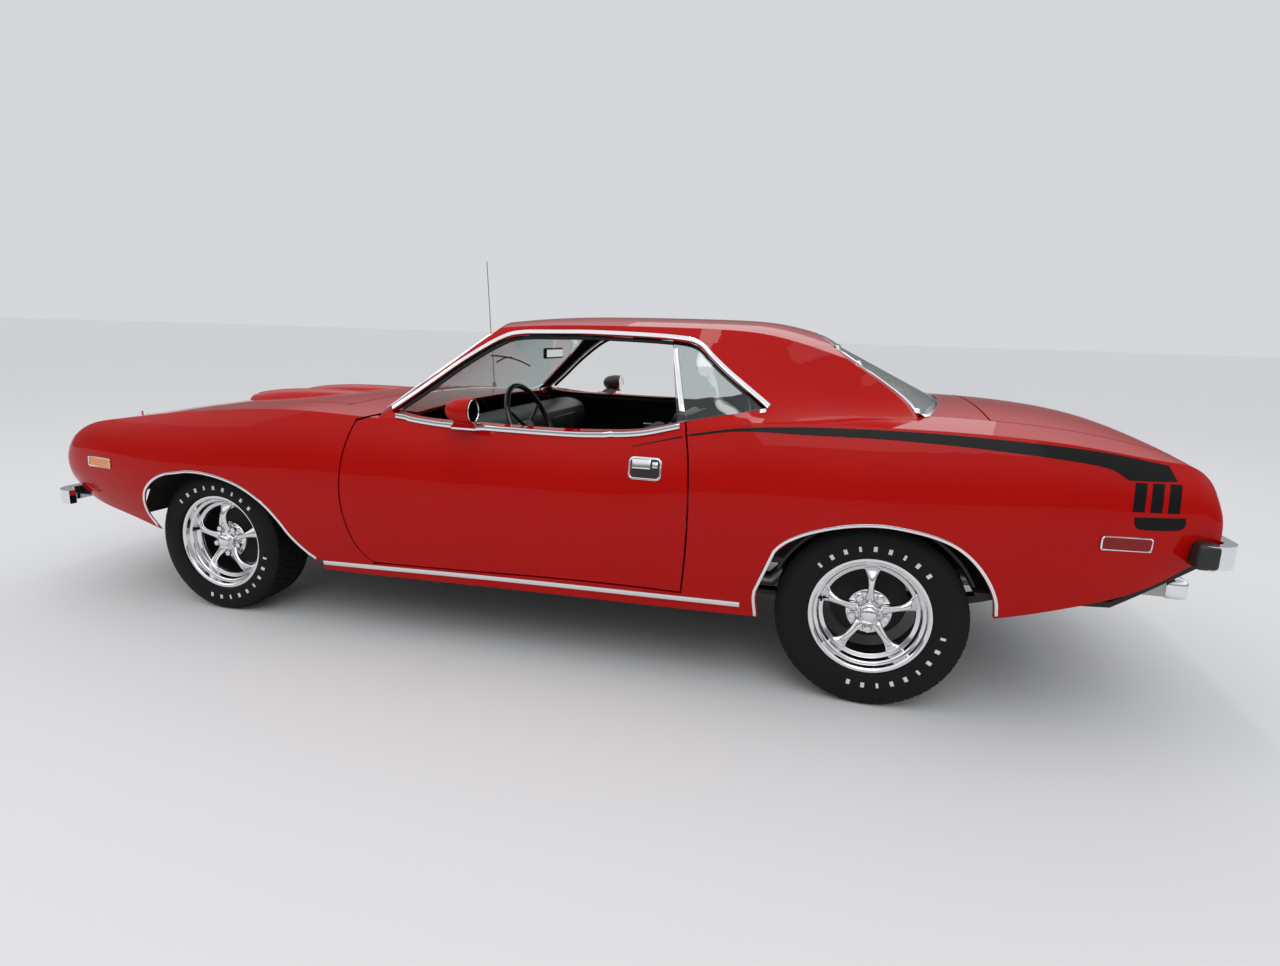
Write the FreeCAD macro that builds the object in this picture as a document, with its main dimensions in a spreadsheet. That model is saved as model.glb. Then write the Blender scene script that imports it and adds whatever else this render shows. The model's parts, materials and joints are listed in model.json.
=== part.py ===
# Two-door hardtop muscle car as a parametric assembly, in millimetres.
# +X runs from the nose to the tail, +Y to the car's right and +Z up. The ground is z = 0 and the origin is
# on the ground under the middle of the car. Left-hand pieces lie at negative y.
import FreeCAD, Part
import Sketcher
import math
import os

V = FreeCAD.Vector
doc = FreeCAD.newDocument("muscle_car")

# Driving dimensions
DIMENSIONS = [
    ("wheelbase", 2743, "front axle to rear axle"),
    ("front_overhang", 955, "front axle to the bumper face"),
    ("rear_overhang", 1072, "rear axle to the bumper face"),
    ("body_half_width", 951, "widest point, over the rear wheels"),
    ("roof_height", 1338, "ground to the roof's crown"),
    ("belt_height", 907, "ground to the bottom of the door glass"),
    ("sill_height", 270, "ground to the bottom of the front of the sill"),
    ("front_track", 1514, "between the middles of the front tyres"),
    ("rear_track", 1510, "between the middles of the rear tyres"),
    ("front_tyre_radius", 308, "rolling radius, also the hub height"),
    ("rear_tyre_radius", 328, "rolling radius, also the hub height"),
    ("front_tyre_width", 222, "section width"),
    ("rear_tyre_width", 250, "section width"),
    ("rim_radius", 208, "outer edge of the rim flange"),
    ("front_rim_width", 196, "over the flanges"),
    ("rear_rim_width", 222, "over the flanges"),
    ("spoke_count", 5, "spokes in each wheel"),
    ("dish_depth", 56, "from the rim's outer edge to the spokes"),
    ("dish_radius", 154, "inside the ring that the spokes run into"),
    ("kingpin_half_span", 660, "half the distance between the steering axes"),
    ("kingpin_radius", 9, "steering axis pin"),
    ("knuckle_height", 182, "between the control arms"),
    ("disc_radius", 135, "front brake disc"),
    ("spindle_radius", 17, "wheel spindles"),
    ("pin_fit", 0.1, "clearance of a pin in its bore"),
    ("panel_gap", 7, "shut lines between panels"),
    ("fender_thickness", 5, "front fender wall"),
    ("door_thickness", 72, "whole door, outer skin to inner trim"),
    ("quarter_thickness", 42, "whole rear quarter wall"),
    ("lid_thickness", 24, "hood and deck lid with their inner frames"),
    ("roof_thickness", 34, "roof skin to headlining"),
    ("pillar_thickness", 44, "side wall of the roof and its pillars"),
    ("glass_thickness", 6, "all window glass"),
    ("glass_inset", 10, "glass set in from the outer surface"),
    ("seat_gap", 0.3, "clearance where one piece seats on another"),
    ("door_hinge_back", 790, "front axle to the door's hinge axis"),
    ("door_hinge_inset", 31, "door's hinge axis, inside the widest point"),
    ("hood_front", 840, "front axle forward to the hood's lip"),
    ("hood_rear", 560, "front axle back to the hood's rear edge"),
    ("hood_half_width", 650, "half the hood's width at its rear"),
    ("scoop_height", 40, "scoop above the hood"),
    ("scoop_spacing", 190, "centre line to each scoop"),
    ("scoop_half_width", 105, "half the width of a scoop"),
    ("scoop_reach", 310, "scoop's lip ahead of the front axle"),
    ("deck_front", 352, "rear axle back to the deck lid's front edge"),
    ("deck_half_width", 640, "half the deck lid's width"),
    ("tail_back", 1010, "rear axle to the tail panel's face"),
    ("front_bumper_height", 62, "height of the bar"),
    ("rear_bumper_height", 74, "height of the bar"),
    ("bumper_depth", 46, "depth of each bumper bar"),
    ("front_bumper_z", 446, "middle of the front bumper"),
    ("rear_bumper_z", 652, "middle of the rear bumper"),
    ("lamp_radius", 74, "headlamp"),
    ("lamp_spacing", 585, "centre line to each headlamp"),
    ("steering_wheel_radius", 190, "centre of the rim's tube"),
    ("steering_tube_radius", 12, "rim's tube"),
    ("floor_z", 318, "top of the cabin floor"),
    ("floor_thickness", 22, "floor pan with its beads"),
    ("seat_width", 510, "each front seat"),
    ("seat_spacing", 415, "centre line to each front seat"),
    ("axle_tube_radius", 38, "rear axle tube"),
    ("differential_radius", 118, "rear axle's centre housing"),
    ("prop_shaft_radius", 38, "propeller shaft"),
    ("exhaust_radius", 30, "exhaust pipe"),
    ("engine_length", 640, "engine block"),
    ("engine_width", 520, "engine block"),
    ("engine_height", 420, "engine block"),
    ("antenna_height", 735, "radio antenna above the fender"),
    ("antenna_radius", 2.5, "radio antenna"),
]
sheet = doc.addObject("Spreadsheet::Sheet", "d")
sheet.Label = "driving_dimensions"
for row, (alias, size, note) in enumerate(DIMENSIONS, start=1):
    sheet.set(f"A{row}", note)
    sheet.set(f"B{row}", str(size))
    sheet.setAlias(f"B{row}", alias)
doc.recompute()


def size(alias):
    return float(getattr(sheet, alias))


FRONT_AXLE = size("front_overhang") - (size("front_overhang") + size("wheelbase") + size("rear_overhang")) / 2
REAR_AXLE = FRONT_AXLE + size("wheelbase")
GAP = size("panel_gap")
FAR = 3000.0


def front(distance):
    """x of a point that far behind the front axle."""
    return FRONT_AXLE + distance


def rear(distance):
    """x of a point that far behind the rear axle."""
    return REAR_AXLE + distance


# Objects of the document. A size is a number or an expression over the sheet's cells.
FRONT_X = "((d.front_overhang - d.wheelbase - d.rear_overhang) / 2)"
REAR_X = "((d.front_overhang + d.wheelbase - d.rear_overhang) / 2)"
nodes = []


def node(name, thing):
    """Files an object of the document, or a bare shape, as the sub-part of that name."""
    if isinstance(thing, Part.Shape):
        thing = piece(name + "_shape", thing)
    thing.Label = name
    nodes.append(thing)
    return thing


def piece(name, shape):
    thing = doc.addObject("Part::Feature", name)
    thing.Shape = shape
    return thing


def formula(value):
    return value if isinstance(value, str) else repr(float(value))


def number(value):
    return float(sheet.evalExpression(formula(value)))


def bind(thing, **sizes):
    for name, value in sizes.items():
        thing.setExpression(name, formula(value))


def place(thing, x=0, y=0, z=0, axis=None, angle=0):
    if axis:
        thing.Placement = FreeCAD.Placement(V(0, 0, 0), FreeCAD.Rotation(V(*axis), angle))
    for key, value in (("x", x), ("y", y), ("z", z)):
        thing.setExpression("Placement.Base." + key, formula(value))
    return thing


def box(name, x, y, z, length, width, height):
    """Box with its low corner at x, y, z."""
    thing = doc.addObject("Part::Box", name)
    bind(thing, Length=length, Width=width, Height=height)
    return place(thing, x, y, z)


TURNS = {"x": ((0, 1, 0), 90), "y": ((1, 0, 0), -90), "z": (None, 0)}


def cylinder(name, x, y, z, radius, length, axis="z"):
    """Cylinder that starts at x, y, z and runs along an axis."""
    thing = doc.addObject("Part::Cylinder", name)
    bind(thing, Radius=radius, Height=length)
    return place(thing, x, y, z, *TURNS[axis])


def cone(name, x, y, z, radius, end_radius, length, axis="z"):
    thing = doc.addObject("Part::Cone", name)
    bind(thing, Radius1=radius, Radius2=end_radius, Height=length)
    return place(thing, x, y, z, *TURNS[axis])


def fused(name, *things):
    whole = doc.addObject("Part::MultiFuse", name)
    whole.Shapes = list(things)
    return whole


def less(name, base, tool):
    rest = doc.addObject("Part::Cut", name)
    rest.Base = base
    rest.Tool = tool
    return rest


def mirror_of(name, thing):
    other = doc.addObject("Part::Mirroring", name)
    other.Source = thing
    other.Normal = V(0, 1, 0)
    return other


def origin_feature(owner, role):
    return next(feature for feature in owner.Origin.OriginFeatures if feature.Role == role)


def sketch(owner, name, plane, outline, offset=0):
    """Closed sketch with straight sides on an origin plane, each corner held by two dimensions."""
    drawn = owner.newObject("Sketcher::SketchObject", name)
    drawn.AttachmentSupport = (origin_feature(owner, plane), [""])
    drawn.MapMode = "FlatFace"
    drawn.setExpression("AttachmentOffset.Base.z", formula(offset))
    corners = [V(number(a), number(b), 0) for a, b in outline]
    for i, corner in enumerate(corners):
        drawn.addGeometry(Part.LineSegment(corner, corners[(i + 1) % len(corners)]), False)
    for i in range(len(corners)):
        drawn.addConstraint(Sketcher.Constraint("Coincident", i, 2, (i + 1) % len(corners), 1))
    for i, corner in enumerate(outline):
        for kind, value in zip(("DistanceX", "DistanceY"), corner):
            index = drawn.addConstraint(Sketcher.Constraint(kind, -1, 1, i, 1, number(value)))
            drawn.setExpression(f"Constraints[{index}]", formula(value))
    return drawn


def turned(owner, name, outline):
    """Revolution about the body's own y axis of an outline of (along, radius) corners."""
    solid = owner.newObject("PartDesign::Revolution", name)
    solid.Profile = sketch(owner, name + "_outline", "YZ_Plane", outline)
    solid.ReferenceAxis = (solid.Profile[0], ["H_Axis"])
    solid.Angle = 360
    return solid


# Rails: smooth curves along the car that the cross-sections hang on
def rail(*knots):
    """Smooth function of x through a few knots (x, value)."""
    xs = [k[0] for k in knots]
    vs = [k[1] for k in knots]
    slopes = []
    for i in range(len(xs)):
        a, b = max(i - 1, 0), min(i + 1, len(xs) - 1)
        slopes.append((vs[b] - vs[a]) / (xs[b] - xs[a]))

    def value(x):
        x = min(max(x, xs[0]), xs[-1])
        i = max(j for j in range(len(xs) - 1) if xs[j] <= x or j == 0)
        span = xs[i + 1] - xs[i]
        u = (x - xs[i]) / span
        return (
            (2 * u**3 - 3 * u**2 + 1) * vs[i]
            + (u**3 - 2 * u**2 + u) * span * slopes[i]
            + (3 * u**2 - 2 * u**3) * vs[i + 1]
            + (u**3 - u**2) * span * slopes[i + 1]
        )

    return value


BELT = size("belt_height")
SILL = size("sill_height")
WIDE = size("body_half_width")
# Crest of the fender and quarter, where the side turns into the top
crest_z = rail(
    (front(-930), BELT - 242), (front(-860), BELT - 198), (front(-700), BELT - 122), (front(-500), BELT - 82),
    (front(-250), BELT - 45), (front(0), BELT - 17), (front(400), BELT + 11), (front(734), BELT + 4),
    (front(1100), BELT - 5), (front(1500), BELT - 10), (rear(-1000), BELT - 14), (rear(-830), BELT - 4),
    (rear(-677), BELT + 25), (rear(-500), BELT + 58), (rear(-300), BELT + 76), (rear(-100), BELT + 81),
    (rear(344), BELT + 74), (rear(640), BELT + 48), (rear(840), BELT + 19), (rear(920), BELT + 2),
    (rear(970), BELT - 36), (rear(1010), BELT - 100),
)
crest_y = rail(
    (front(-930), WIDE - 205), (front(-860), WIDE - 160), (front(-700), WIDE - 122),
    (front(-500), WIDE - 104),
    (front(0), WIDE - 88), (front(734), WIDE - 76), (front(1500), WIDE - 66), (rear(-830), WIDE - 59),
    (rear(-300), WIDE - 65), (rear(0), WIDE - 71), (rear(344), WIDE - 86), (rear(640), WIDE - 106),
    (rear(840), WIDE - 134), (rear(970), WIDE - 164), (rear(1010), WIDE - 184),
)
flank_y = rail(
    (front(-930), WIDE - 178), (front(-860), WIDE - 128), (front(-700), WIDE - 80), (front(-500), WIDE - 46),
    (front(-250), WIDE - 21), (front(0), WIDE - 9), (front(900), WIDE - 8), (front(1500), WIDE - 6),
    (rear(-300), WIDE), (rear(0), WIDE - 3), (rear(344), WIDE - 26), (rear(640), WIDE - 54),
    (rear(840), WIDE - 83), (rear(970), WIDE - 112), (rear(1010), WIDE - 130),
)
hem_y = rail(
    (front(-930), WIDE - 205), (front(-700), WIDE - 128), (front(-250), WIDE - 62), (front(400), WIDE - 44),
    (rear(-600), WIDE - 44), (rear(0), WIDE - 44), (rear(344), WIDE - 64), (rear(840), WIDE - 115),
    (rear(1010), WIDE - 150),
)
hem_z = rail(
    (front(-930), SILL + 225), (front(-860), SILL + 205), (front(-712), SILL + 162),
    (front(-500), SILL + 124),
    (front(-293), SILL + 80), (front(0), SILL + 30), (front(300), SILL + 8), (front(570), SILL - 3),
    (front(1400), SILL + 10), (rear(-382), SILL + 25), (rear(0), SILL + 60), (rear(390), SILL + 108),
    (rear(555), SILL + 151), (rear(669), SILL + 187), (rear(834), SILL + 257), (rear(944), SILL + 330),
    (rear(1010), SILL + 370),
)
crown_z = rail(
    (front(-930), BELT - 212), (front(-860), BELT - 162), (front(-700), BELT - 107), (front(-500), BELT - 62),
    (front(-250), BELT - 20), (front(0), BELT + 7), (front(400), BELT + 37), (front(600), BELT + 43),
    (front(1300), BELT + 23), (rear(-800), BELT + 28), (rear(-400), BELT + 98), (rear(0), BELT + 128),
    (rear(300), BELT + 131), (rear(490), BELT + 123), (rear(690), BELT + 103), (rear(850), BELT + 65),
    (rear(950), BELT + 13), (rear(1010), BELT - 45),
)


def top_z(x, y):
    """Height of the body's upper surface, near enough to seat a bracket under it."""
    return crown_z(x) - (crown_z(x) - crest_z(x)) * (y / crest_y(x)) ** 2


BODY_STATIONS = [
    front(-930), front(-890), front(-820), front(-700), front(-500), front(-250), front(50), front(400),
    front(734), front(1100), front(1500), rear(-1000), rear(-830), rear(-677), rear(-500), rear(-300),
    rear(0), rear(344), rear(640), rear(840), rear(930), rear(975), rear(1010),
]


def bezier(*points):
    curve = Part.BezierCurve()
    curve.setPoles([V(*p) for p in points])
    return curve.toShape()


def line(a, b):
    return Part.LineSegment(V(*a), V(*b)).toShape()


def body_section(x, side=0.0, top=0.0, bottom=0.0):
    """Closed cross-section of the lower body at x, set in by those amounts."""
    crest = crest_y(x) - side
    flank = flank_y(x) - side
    hem = hem_y(x) - side
    low, high, crown = hem_z(x) + bottom, crest_z(x) - top, crown_z(x) - top
    control = (flank - (hem + crest) / 8) * 4 / 3
    lower, upper = low + 0.34 * (high - low), low + 0.74 * (high - low)
    arch = (crown - high / 4) * 4 / 3
    inner = crest * 0.42
    return Part.Wire([
        line((x, -hem, low), (x, hem, low)),
        bezier((x, hem, low), (x, control, lower), (x, control, upper), (x, crest, high)),
        bezier((x, crest, high), (x, inner, arch), (x, -inner, arch), (x, -crest, high)),
        bezier((x, -crest, high), (x, -control, upper), (x, -control, lower), (x, -hem, low)),
    ])


def body_solid(side=0.0, top=0.0, bottom=0.0, stations=BODY_STATIONS):
    return Part.makeLoft([body_section(x, side, top, bottom) for x in stations], True, False)


# Roof and pillars: cross-sections from the belt to the roof, flared into the quarters at the back
ROOF = size("roof_height")
roof_z = rail(
    (front(500), ROOF - 150), (front(900), ROOF - 72), (front(1257), ROOF - 18), (front(1650), ROOF - 2),
    (front(1936), ROOF), (rear(-535), ROOF - 4), (rear(-400), ROOF - 18), (rear(-250), ROOF - 55),
    (rear(150), ROOF - 180), (rear(480), ROOF - 300),
)
roof_y = rail((front(500), 600), (front(900), 614), (front(1300), 622), (rear(-1000), 622), (rear(-400), 598),
              (rear(-150), 580), (rear(150), 560), (rear(480), 540))
cant_drop = rail((front(500), 46), (rear(-700), 46), (rear(-250), 52), (rear(480), 60))
base_y = rail((front(500), WIDE - 79), (front(1500), WIDE - 71), (rear(-700), WIDE - 67),
              (rear(-300), WIDE - 71), (rear(0), WIDE - 75), (rear(480), WIDE - 101))
base_z = rail((front(500), BELT - 20), (front(1500), BELT - 12), (rear(-900), BELT - 14),
              (rear(-677), BELT + 16),
              (rear(-400), BELT + 60), (rear(-100), BELT + 72), (rear(480), BELT + 60))
flare = rail((front(500), 0), (rear(-900), 0), (rear(-650), 0.1), (rear(-380), 0.55), (rear(-150), 1),
             (rear(480), 1))
thinning = rail((front(500), 0.3), (front(1150), 0.3), (front(1450), 1), (rear(-620), 1), (rear(-330), 0.3),
                (rear(480), 0.3))
ROOF_STATIONS = [front(500), front(900), front(1150), front(1400), rear(-1050), rear(-800), rear(-600),
                 rear(-450),
                 rear(-330), rear(-200), rear(0), rear(220), rear(480)]


def roof_section(x, side=0.0, top=0.0):
    top = top * thinning(x)
    edge_y, edge_z = roof_y(x) - side, roof_z(x) - cant_drop(x) - top
    foot_y, foot_z = base_y(x) - side, base_z(x)
    crown = (roof_z(x) - top - edge_z / 4) * 4 / 3
    f = flare(x)
    rise, run = edge_z - foot_z, foot_y - edge_y
    straight_1 = (foot_y - 0.30 * run, foot_z + 0.36 * rise)
    straight_2 = (foot_y - 0.62 * run, foot_z + 0.70 * rise)
    flared_1 = (foot_y - 0.62 * run, foot_z + 0.06 * rise)
    flared_2 = (foot_y - 0.80 * run, foot_z + 0.50 * rise)
    y1, z1 = [(1 - f) * a + f * b for a, b in zip(straight_1, flared_1)]
    y2, z2 = [(1 - f) * a + f * b for a, b in zip(straight_2, flared_2)]
    floor = BELT - 160
    return Part.Wire([
        line((x, -foot_y, floor), (x, foot_y, floor)),
        line((x, foot_y, floor), (x, foot_y, foot_z)),
        bezier((x, foot_y, foot_z), (x, y1, z1), (x, y2, z2), (x, edge_y, edge_z)),
        bezier((x, edge_y, edge_z), (x, edge_y * 0.5, crown), (x, -edge_y * 0.5, crown),
               (x, -edge_y, edge_z)),
        bezier((x, -edge_y, edge_z), (x, -y2, z2), (x, -y1, z1), (x, -foot_y, foot_z)),
        line((x, -foot_y, foot_z), (x, -foot_y, floor)),
    ])


def roof_solid(side=0.0, top=0.0):
    return Part.makeLoft([roof_section(x, side, top) for x in ROOF_STATIONS], True, False)


def prism(outline, low, high, plane="XZ", skew=0.0):
    """Solid from a closed outline of (a, b) points, straight or smooth, swept between two heights."""
    def place(p, h):
        return V(p[0], h, p[1]) if plane == "XZ" else V(p[0], p[1], h) if plane == "XY" else V(h, p[0], p[1])

    edges = []
    for piece in outline:
        points = [place(p, low) for p in piece]
        if len(points) == 2:
            edges.append(Part.LineSegment(*points).toShape())
        else:
            curve = Part.BSplineCurve()
            curve.interpolate(points)
            edges.append(curve.toShape())
    face = Part.Face(Part.Wire(edges))
    step = place((0, 0), high) - place((0, 0), low)
    return face.extrude(step + V(skew * (high - low), 0, 0))


def closed(*pieces):
    """Joins runs of points into a closed outline: a run of two is straight, a longer one is smooth."""
    joined = []
    for i, run in enumerate(pieces):
        joined.append(list(run))
        following = pieces[(i + 1) % len(pieces)]
        if run[-1] != following[0]:
            joined.append([run[-1], following[0]])
    return joined


def screen_block(base, top, bow_base, bow_top, base_z_, top_z_, ahead, shift=0.0):
    """Everything ahead of (or behind) a bowed window surface, moved by shift towards the cabin."""
    sections = []
    lean = (top - base) / (top_z_ - base_z_)
    for y in (-1000, -500, 0, 500, 1000):
        foot = base + bow_base * (y / 1000) ** 2
        head = top + bow_top * (y / 1000) ** 2
        slope = (head - foot) / (top_z_ - base_z_)
        low, high = base_z_ - 300, top_z_ + 300
        outer = -FAR if ahead else FAR
        step = shift if ahead else -shift
        sections.append(Part.Wire([
            line((foot - 300 * slope + step, y, low), (head + 300 * slope + step, y, high)),
            line((head + 300 * slope + step, y, high), (outer, y, high)),
            line((outer, y, high), (outer, y, low)),
            line((outer, y, low), (foot - 300 * slope + step, y, low)),
        ]))
    return Part.makeLoft(sections, True, False)


def windscreen_block(shift=0.0):
    return screen_block(front(600), front(1110), 378, 417, BELT + 38, ROOF - 48, True, shift)


def rear_window_block(shift=0.0):
    return screen_block(rear(270), rear(-238), -366, -80, BELT + 113, ROOF - 68, False, shift)


# Outlines in side view, as (x, z), shared by the panels on both sides of a shut line
DOOR_FRONT = [
    (front(748), BELT - 16), (front(712), BELT - 121), (front(695), BELT - 246), (front(699), BELT - 347),
    (front(722), SILL + 196), (front(762), SILL + 115), (front(828), SILL + 59),
]
DOOR_BOTTOM = [(front(828), SILL + 59), (front(1378), SILL + 77), (rear(-962), SILL + 89),
               (rear(-656), SILL + 88)]
DOOR_REAR = [
    (rear(-656), SILL + 88), (rear(-641), SILL + 289), (rear(-642), BELT - 169), (rear(-654), BELT - 34),
    (rear(-675), BELT + 58),
]
WINDOW_SILL = [
    (rear(-675), BELT + 58), (rear(-841), BELT + 18), (rear(-991), BELT + 5), (rear(-1146), BELT - 1),
    (front(1271), BELT + 1), (front(1100), BELT + 2), (front(919), BELT + 18), (front(877), BELT + 28),
]
QUARTER_SILL = [(rear(-400), BELT + 113), (rear(-559), BELT + 82), (rear(-675), BELT + 58)]
PILLAR_EDGE = [(front(877), BELT + 28), (front(980), BELT + 108), (front(1125), BELT + 225),
               (front(1261), BELT + 315)]
HEADER_EDGE = [
    (front(1261), BELT + 315), (front(1348), BELT + 338), (rear(-1070), BELT + 346), (rear(-801), BELT + 339),
    (rear(-688), BELT + 325),
]
SAIL_EDGE = [(rear(-688), BELT + 325), (rear(-551), BELT + 219), (rear(-400), BELT + 113)]
FRONT_ARCH = [
    (front(-272), SILL + 20), (front(-282), SILL + 83), (front(-324), SILL + 157), (front(-321), SILL + 227),
    (front(-280), SILL + 285), (front(-197), SILL + 333), (front(-54), SILL + 358), (front(76), SILL + 351),
    (front(202), SILL + 319), (front(308), SILL + 260), (front(378), SILL + 194), (front(433), SILL + 125),
    (front(498), SILL + 66), (front(570), SILL + 20),
]
REAR_ARCH = [
    (rear(-378), SILL - 40), (rear(-379), SILL + 27), (rear(-386), SILL + 130), (rear(-332), SILL + 271),
    (rear(-253), SILL + 336), (rear(-125), SILL + 380), (rear(1), SILL + 396), (rear(128), SILL + 383),
    (rear(223), SILL + 355), (rear(290), SILL + 310), (rear(344), SILL + 245), (rear(377), SILL + 179),
    (rear(388), SILL + 120), (rear(390), SILL - 40),
]
SEAT = size("seat_gap")
SKEW = -0.05


def moved(points, dx, dz=0.0):
    return [(x + dx, z + dz) for x, z in points]


def slab(x0, x1, y0, y1, z0, z1):
    return Part.makeBox(x1 - x0, y1 - y0, z1 - z0, V(x0, y0, z0))


SKIN = size("body_half_width") + 60


def door_prism(gap=0.0):
    """Left door in side view. Its ends lean back towards the inside, so that it swings clear."""
    outline = closed(
        moved(DOOR_FRONT, -gap), moved(DOOR_BOTTOM, 0, -gap), moved(DOOR_REAR, gap), moved(WINDOW_SILL, 0)
    )
    return prism(outline, -SKIN, -300, skew=SKEW)


def daylight_prism(gap=0.0):
    """Opening for the door glass and quarter glass together, made smaller all round by the gap."""
    sill = QUARTER_SILL + WINDOW_SILL[1:]
    outline = closed(
        moved(sill, 0, min(gap, SEAT)),
        moved(PILLAR_EDGE, gap),
        moved(HEADER_EDGE, 0, -gap),
        moved(SAIL_EDGE, -gap),
    )
    return prism(outline, -SKIN, -300)


def polygon(*points):
    """Closed outline with straight sides."""
    return [[points[i], points[(i + 1) % len(points)]] for i in range(len(points))]


def mirrored(shape):
    return shape.mirror(V(0, 0, 0), V(0, 1, 0))


def largest(shape):
    """The biggest solid of a shape, without the slivers that a cut leaves."""
    return max(shape.Solids, key=lambda solid: solid.Volume)


def both(shape):
    return Part.makeCompound([shape, mirrored(shape)])


# Body shells that the panels are cut from
body = body_solid()
cabin = roof_solid().cut(windscreen_block()).cut(rear_window_block())
outer = body.fuse(cabin)
inner_roof = roof_solid(size("pillar_thickness"), size("roof_thickness"))
cabin_inside = inner_roof.cut(windscreen_block()).cut(rear_window_block())
left = slab(-FAR, FAR, -FAR, 0, -FAR, FAR)

# Seams in plan
HOOD_EDGE = [(front(-size("hood_front")), size("hood_half_width") - 62),
             (front(-200), size("hood_half_width") - 14),
             (front(size("hood_rear")), size("hood_half_width"))]
NOSE_BACK = front(-size("hood_front"))


def hood_plan(gap=0.0, front_gap=0.0):
    edge = [(x, y + gap) for x, y in HOOD_EDGE]
    edge[0] = (edge[0][0] + GAP + 2 - front_gap, edge[0][1])
    edge[-1] = (edge[-1][0] + gap, edge[-1][1])
    other = [(x, -y) for x, y in reversed(edge)]
    return prism(closed(edge, other), SILL + 230, FAR, "XY")


# Doors
door_inside = body_solid(size("door_thickness"), 20, 0)
door_roof_inside = roof_solid(size("door_thickness"), size("roof_thickness"))
door_skin = outer.common(door_prism()).cut(door_inside).cut(door_roof_inside).cut(daylight_prism())
door_skin = door_skin.cut(slab(front(700), front(890), -size("body_half_width") + 113, 0, BELT - 4, FAR))


def door_mirror():
    """Bullet mirror on its foot, standing on the front of the left door's window sill."""
    nose, face_x = front(1176), front(1283)
    centre_y, centre_z, radius = -(WIDE - 2), BELT + 59, 48
    half = Part.Wire([
        line((nose, centre_y, centre_z), (face_x, centre_y, centre_z)),
        line((face_x, centre_y, centre_z), (face_x, centre_y, centre_z + radius)),
        bezier((face_x, centre_y, centre_z + radius), (front(1225), centre_y, centre_z + radius + 4),
               (nose, centre_y, centre_z + radius * 0.8), (nose, centre_y, centre_z)),
    ])
    shell = Part.Face(half).revolve(V(nose, centre_y, centre_z), V(1, 0, 0), 360)
    foot_low = prism_section(front(1160), front(1268), centre_y + 53, centre_y + 99, BELT - 18)
    foot_high = prism_section(front(1205), front(1262), centre_y + 15, centre_y + 49, BELT + 26)
    foot = Part.makeLoft([foot_low, foot_high], True, True)
    return shell.fuse(foot)


def prism_section(x0, x1, y0, y1, z):
    return Part.Wire([
        line((x0, y0, z), (x1, y0, z)), line((x1, y0, z), (x1, y1, z)),
        line((x1, y1, z), (x0, y1, z)), line((x0, y1, z), (x0, y0, z)),
    ])


# Its hinges: pockets in its front end, each with a pin that the hinge pillar's arm is threaded on
DOOR_X, DOOR_Y = front(size("door_hinge_back")), WIDE - size("door_hinge_inset")
DOOR_HINGE_Z = (SILL + 200, SILL + 430)
DOOR_PIN, HINGE_LEAF, PIN_FIT = 4, 18, size("pin_fit")
door = door_skin.fuse(door_mirror())
for z in DOOR_HINGE_Z:
    pocket = slab(DOOR_X - 120, DOOR_X + HINGE_LEAF / 2 + 4, -DOOR_Y - HINGE_LEAF / 2 - 2, -DOOR_Y + 90,
                  z - HINGE_LEAF / 2, z + HINGE_LEAF / 2)
    pin = Part.makeCylinder(DOOR_PIN, HINGE_LEAF + 4, V(DOOR_X, -DOOR_Y, z - HINGE_LEAF / 2 - 2))
    door = door.cut(pocket).fuse(pin)


def raised(outline, height, near):
    """Flat trim that lies on the body side and follows it."""
    block = prism(outline, -SKIN, near)
    return body_solid(-height, 0, 0).common(block).cut(body_solid(-SEAT, 0, 0))


# Glass
glass_outer = roof_solid(size("glass_inset"), size("glass_inset"))
glass_inner = roof_solid(size("glass_inset") + size("glass_thickness"),
                         size("glass_inset") + size("glass_thickness"))
behind_divider = prism(polygon(
    (rear(-678), BELT - 100), (rear(-709), BELT + 40), (rear(-787), BELT + 352), (rear(0), BELT + 352),
    (rear(0), BELT - 100)), -SKIN, 0)
daylight = daylight_prism()
quarter_glass = glass_outer.common(daylight).cut(glass_inner).common(behind_divider)
for dx, dz in ((-2 * SEAT, -SEAT), (0, SEAT)):
    quarter_glass = quarter_glass.common(daylight.translated(V(dx, 0, dz)))
seated = body_solid(-SEAT, -SEAT, 0)
in_frame = roof_solid(size("pillar_thickness") + SEAT, size("roof_thickness") + SEAT)
inset, thick = size("glass_inset"), size("glass_thickness")
windscreen = in_frame.common(windscreen_block(inset + thick)).cut(windscreen_block(inset)).cut(seated)
rear_window = in_frame.common(rear_window_block(inset + thick)).cut(rear_window_block(inset)).cut(seated)

# Roof with its front pillars, and the rear quarters with their sail panels
ROOF_SEAM = BELT + 332
quarter_outline = closed(
    list(reversed(moved(DOOR_REAR, GAP))),
    [(rear(-656) + GAP, SILL - 80), (rear(1100), SILL - 80)],
    [(rear(1100), ROOF_SEAM), (rear(-700), ROOF_SEAM)],
)

beside_quarter = closed(
    list(reversed(moved(DOOR_REAR, GAP - SEAT))),
    [(rear(-656) + GAP, SILL - 80), (rear(1100), SILL - 80)],
    [(rear(1100), ROOF_SEAM + SEAT), (rear(-700) - SEAT, ROOF_SEAM + SEAT)],
)
roof_left = cabin.common(left).cut(cabin_inside).cut(slab(front(878), rear(-640), -FAR, 1, 0, BELT + 30))
roof_left = roof_left.cut(door_prism(GAP)).cut(daylight_prism())
roof_left = largest(roof_left.cut(prism(beside_quarter, -SKIN, 0, skew=SKEW)))
roof_left = largest(roof_left.cut(seated))
roof = roof_left.fuse(mirrored(roof_left)).removeSplitter()

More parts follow.
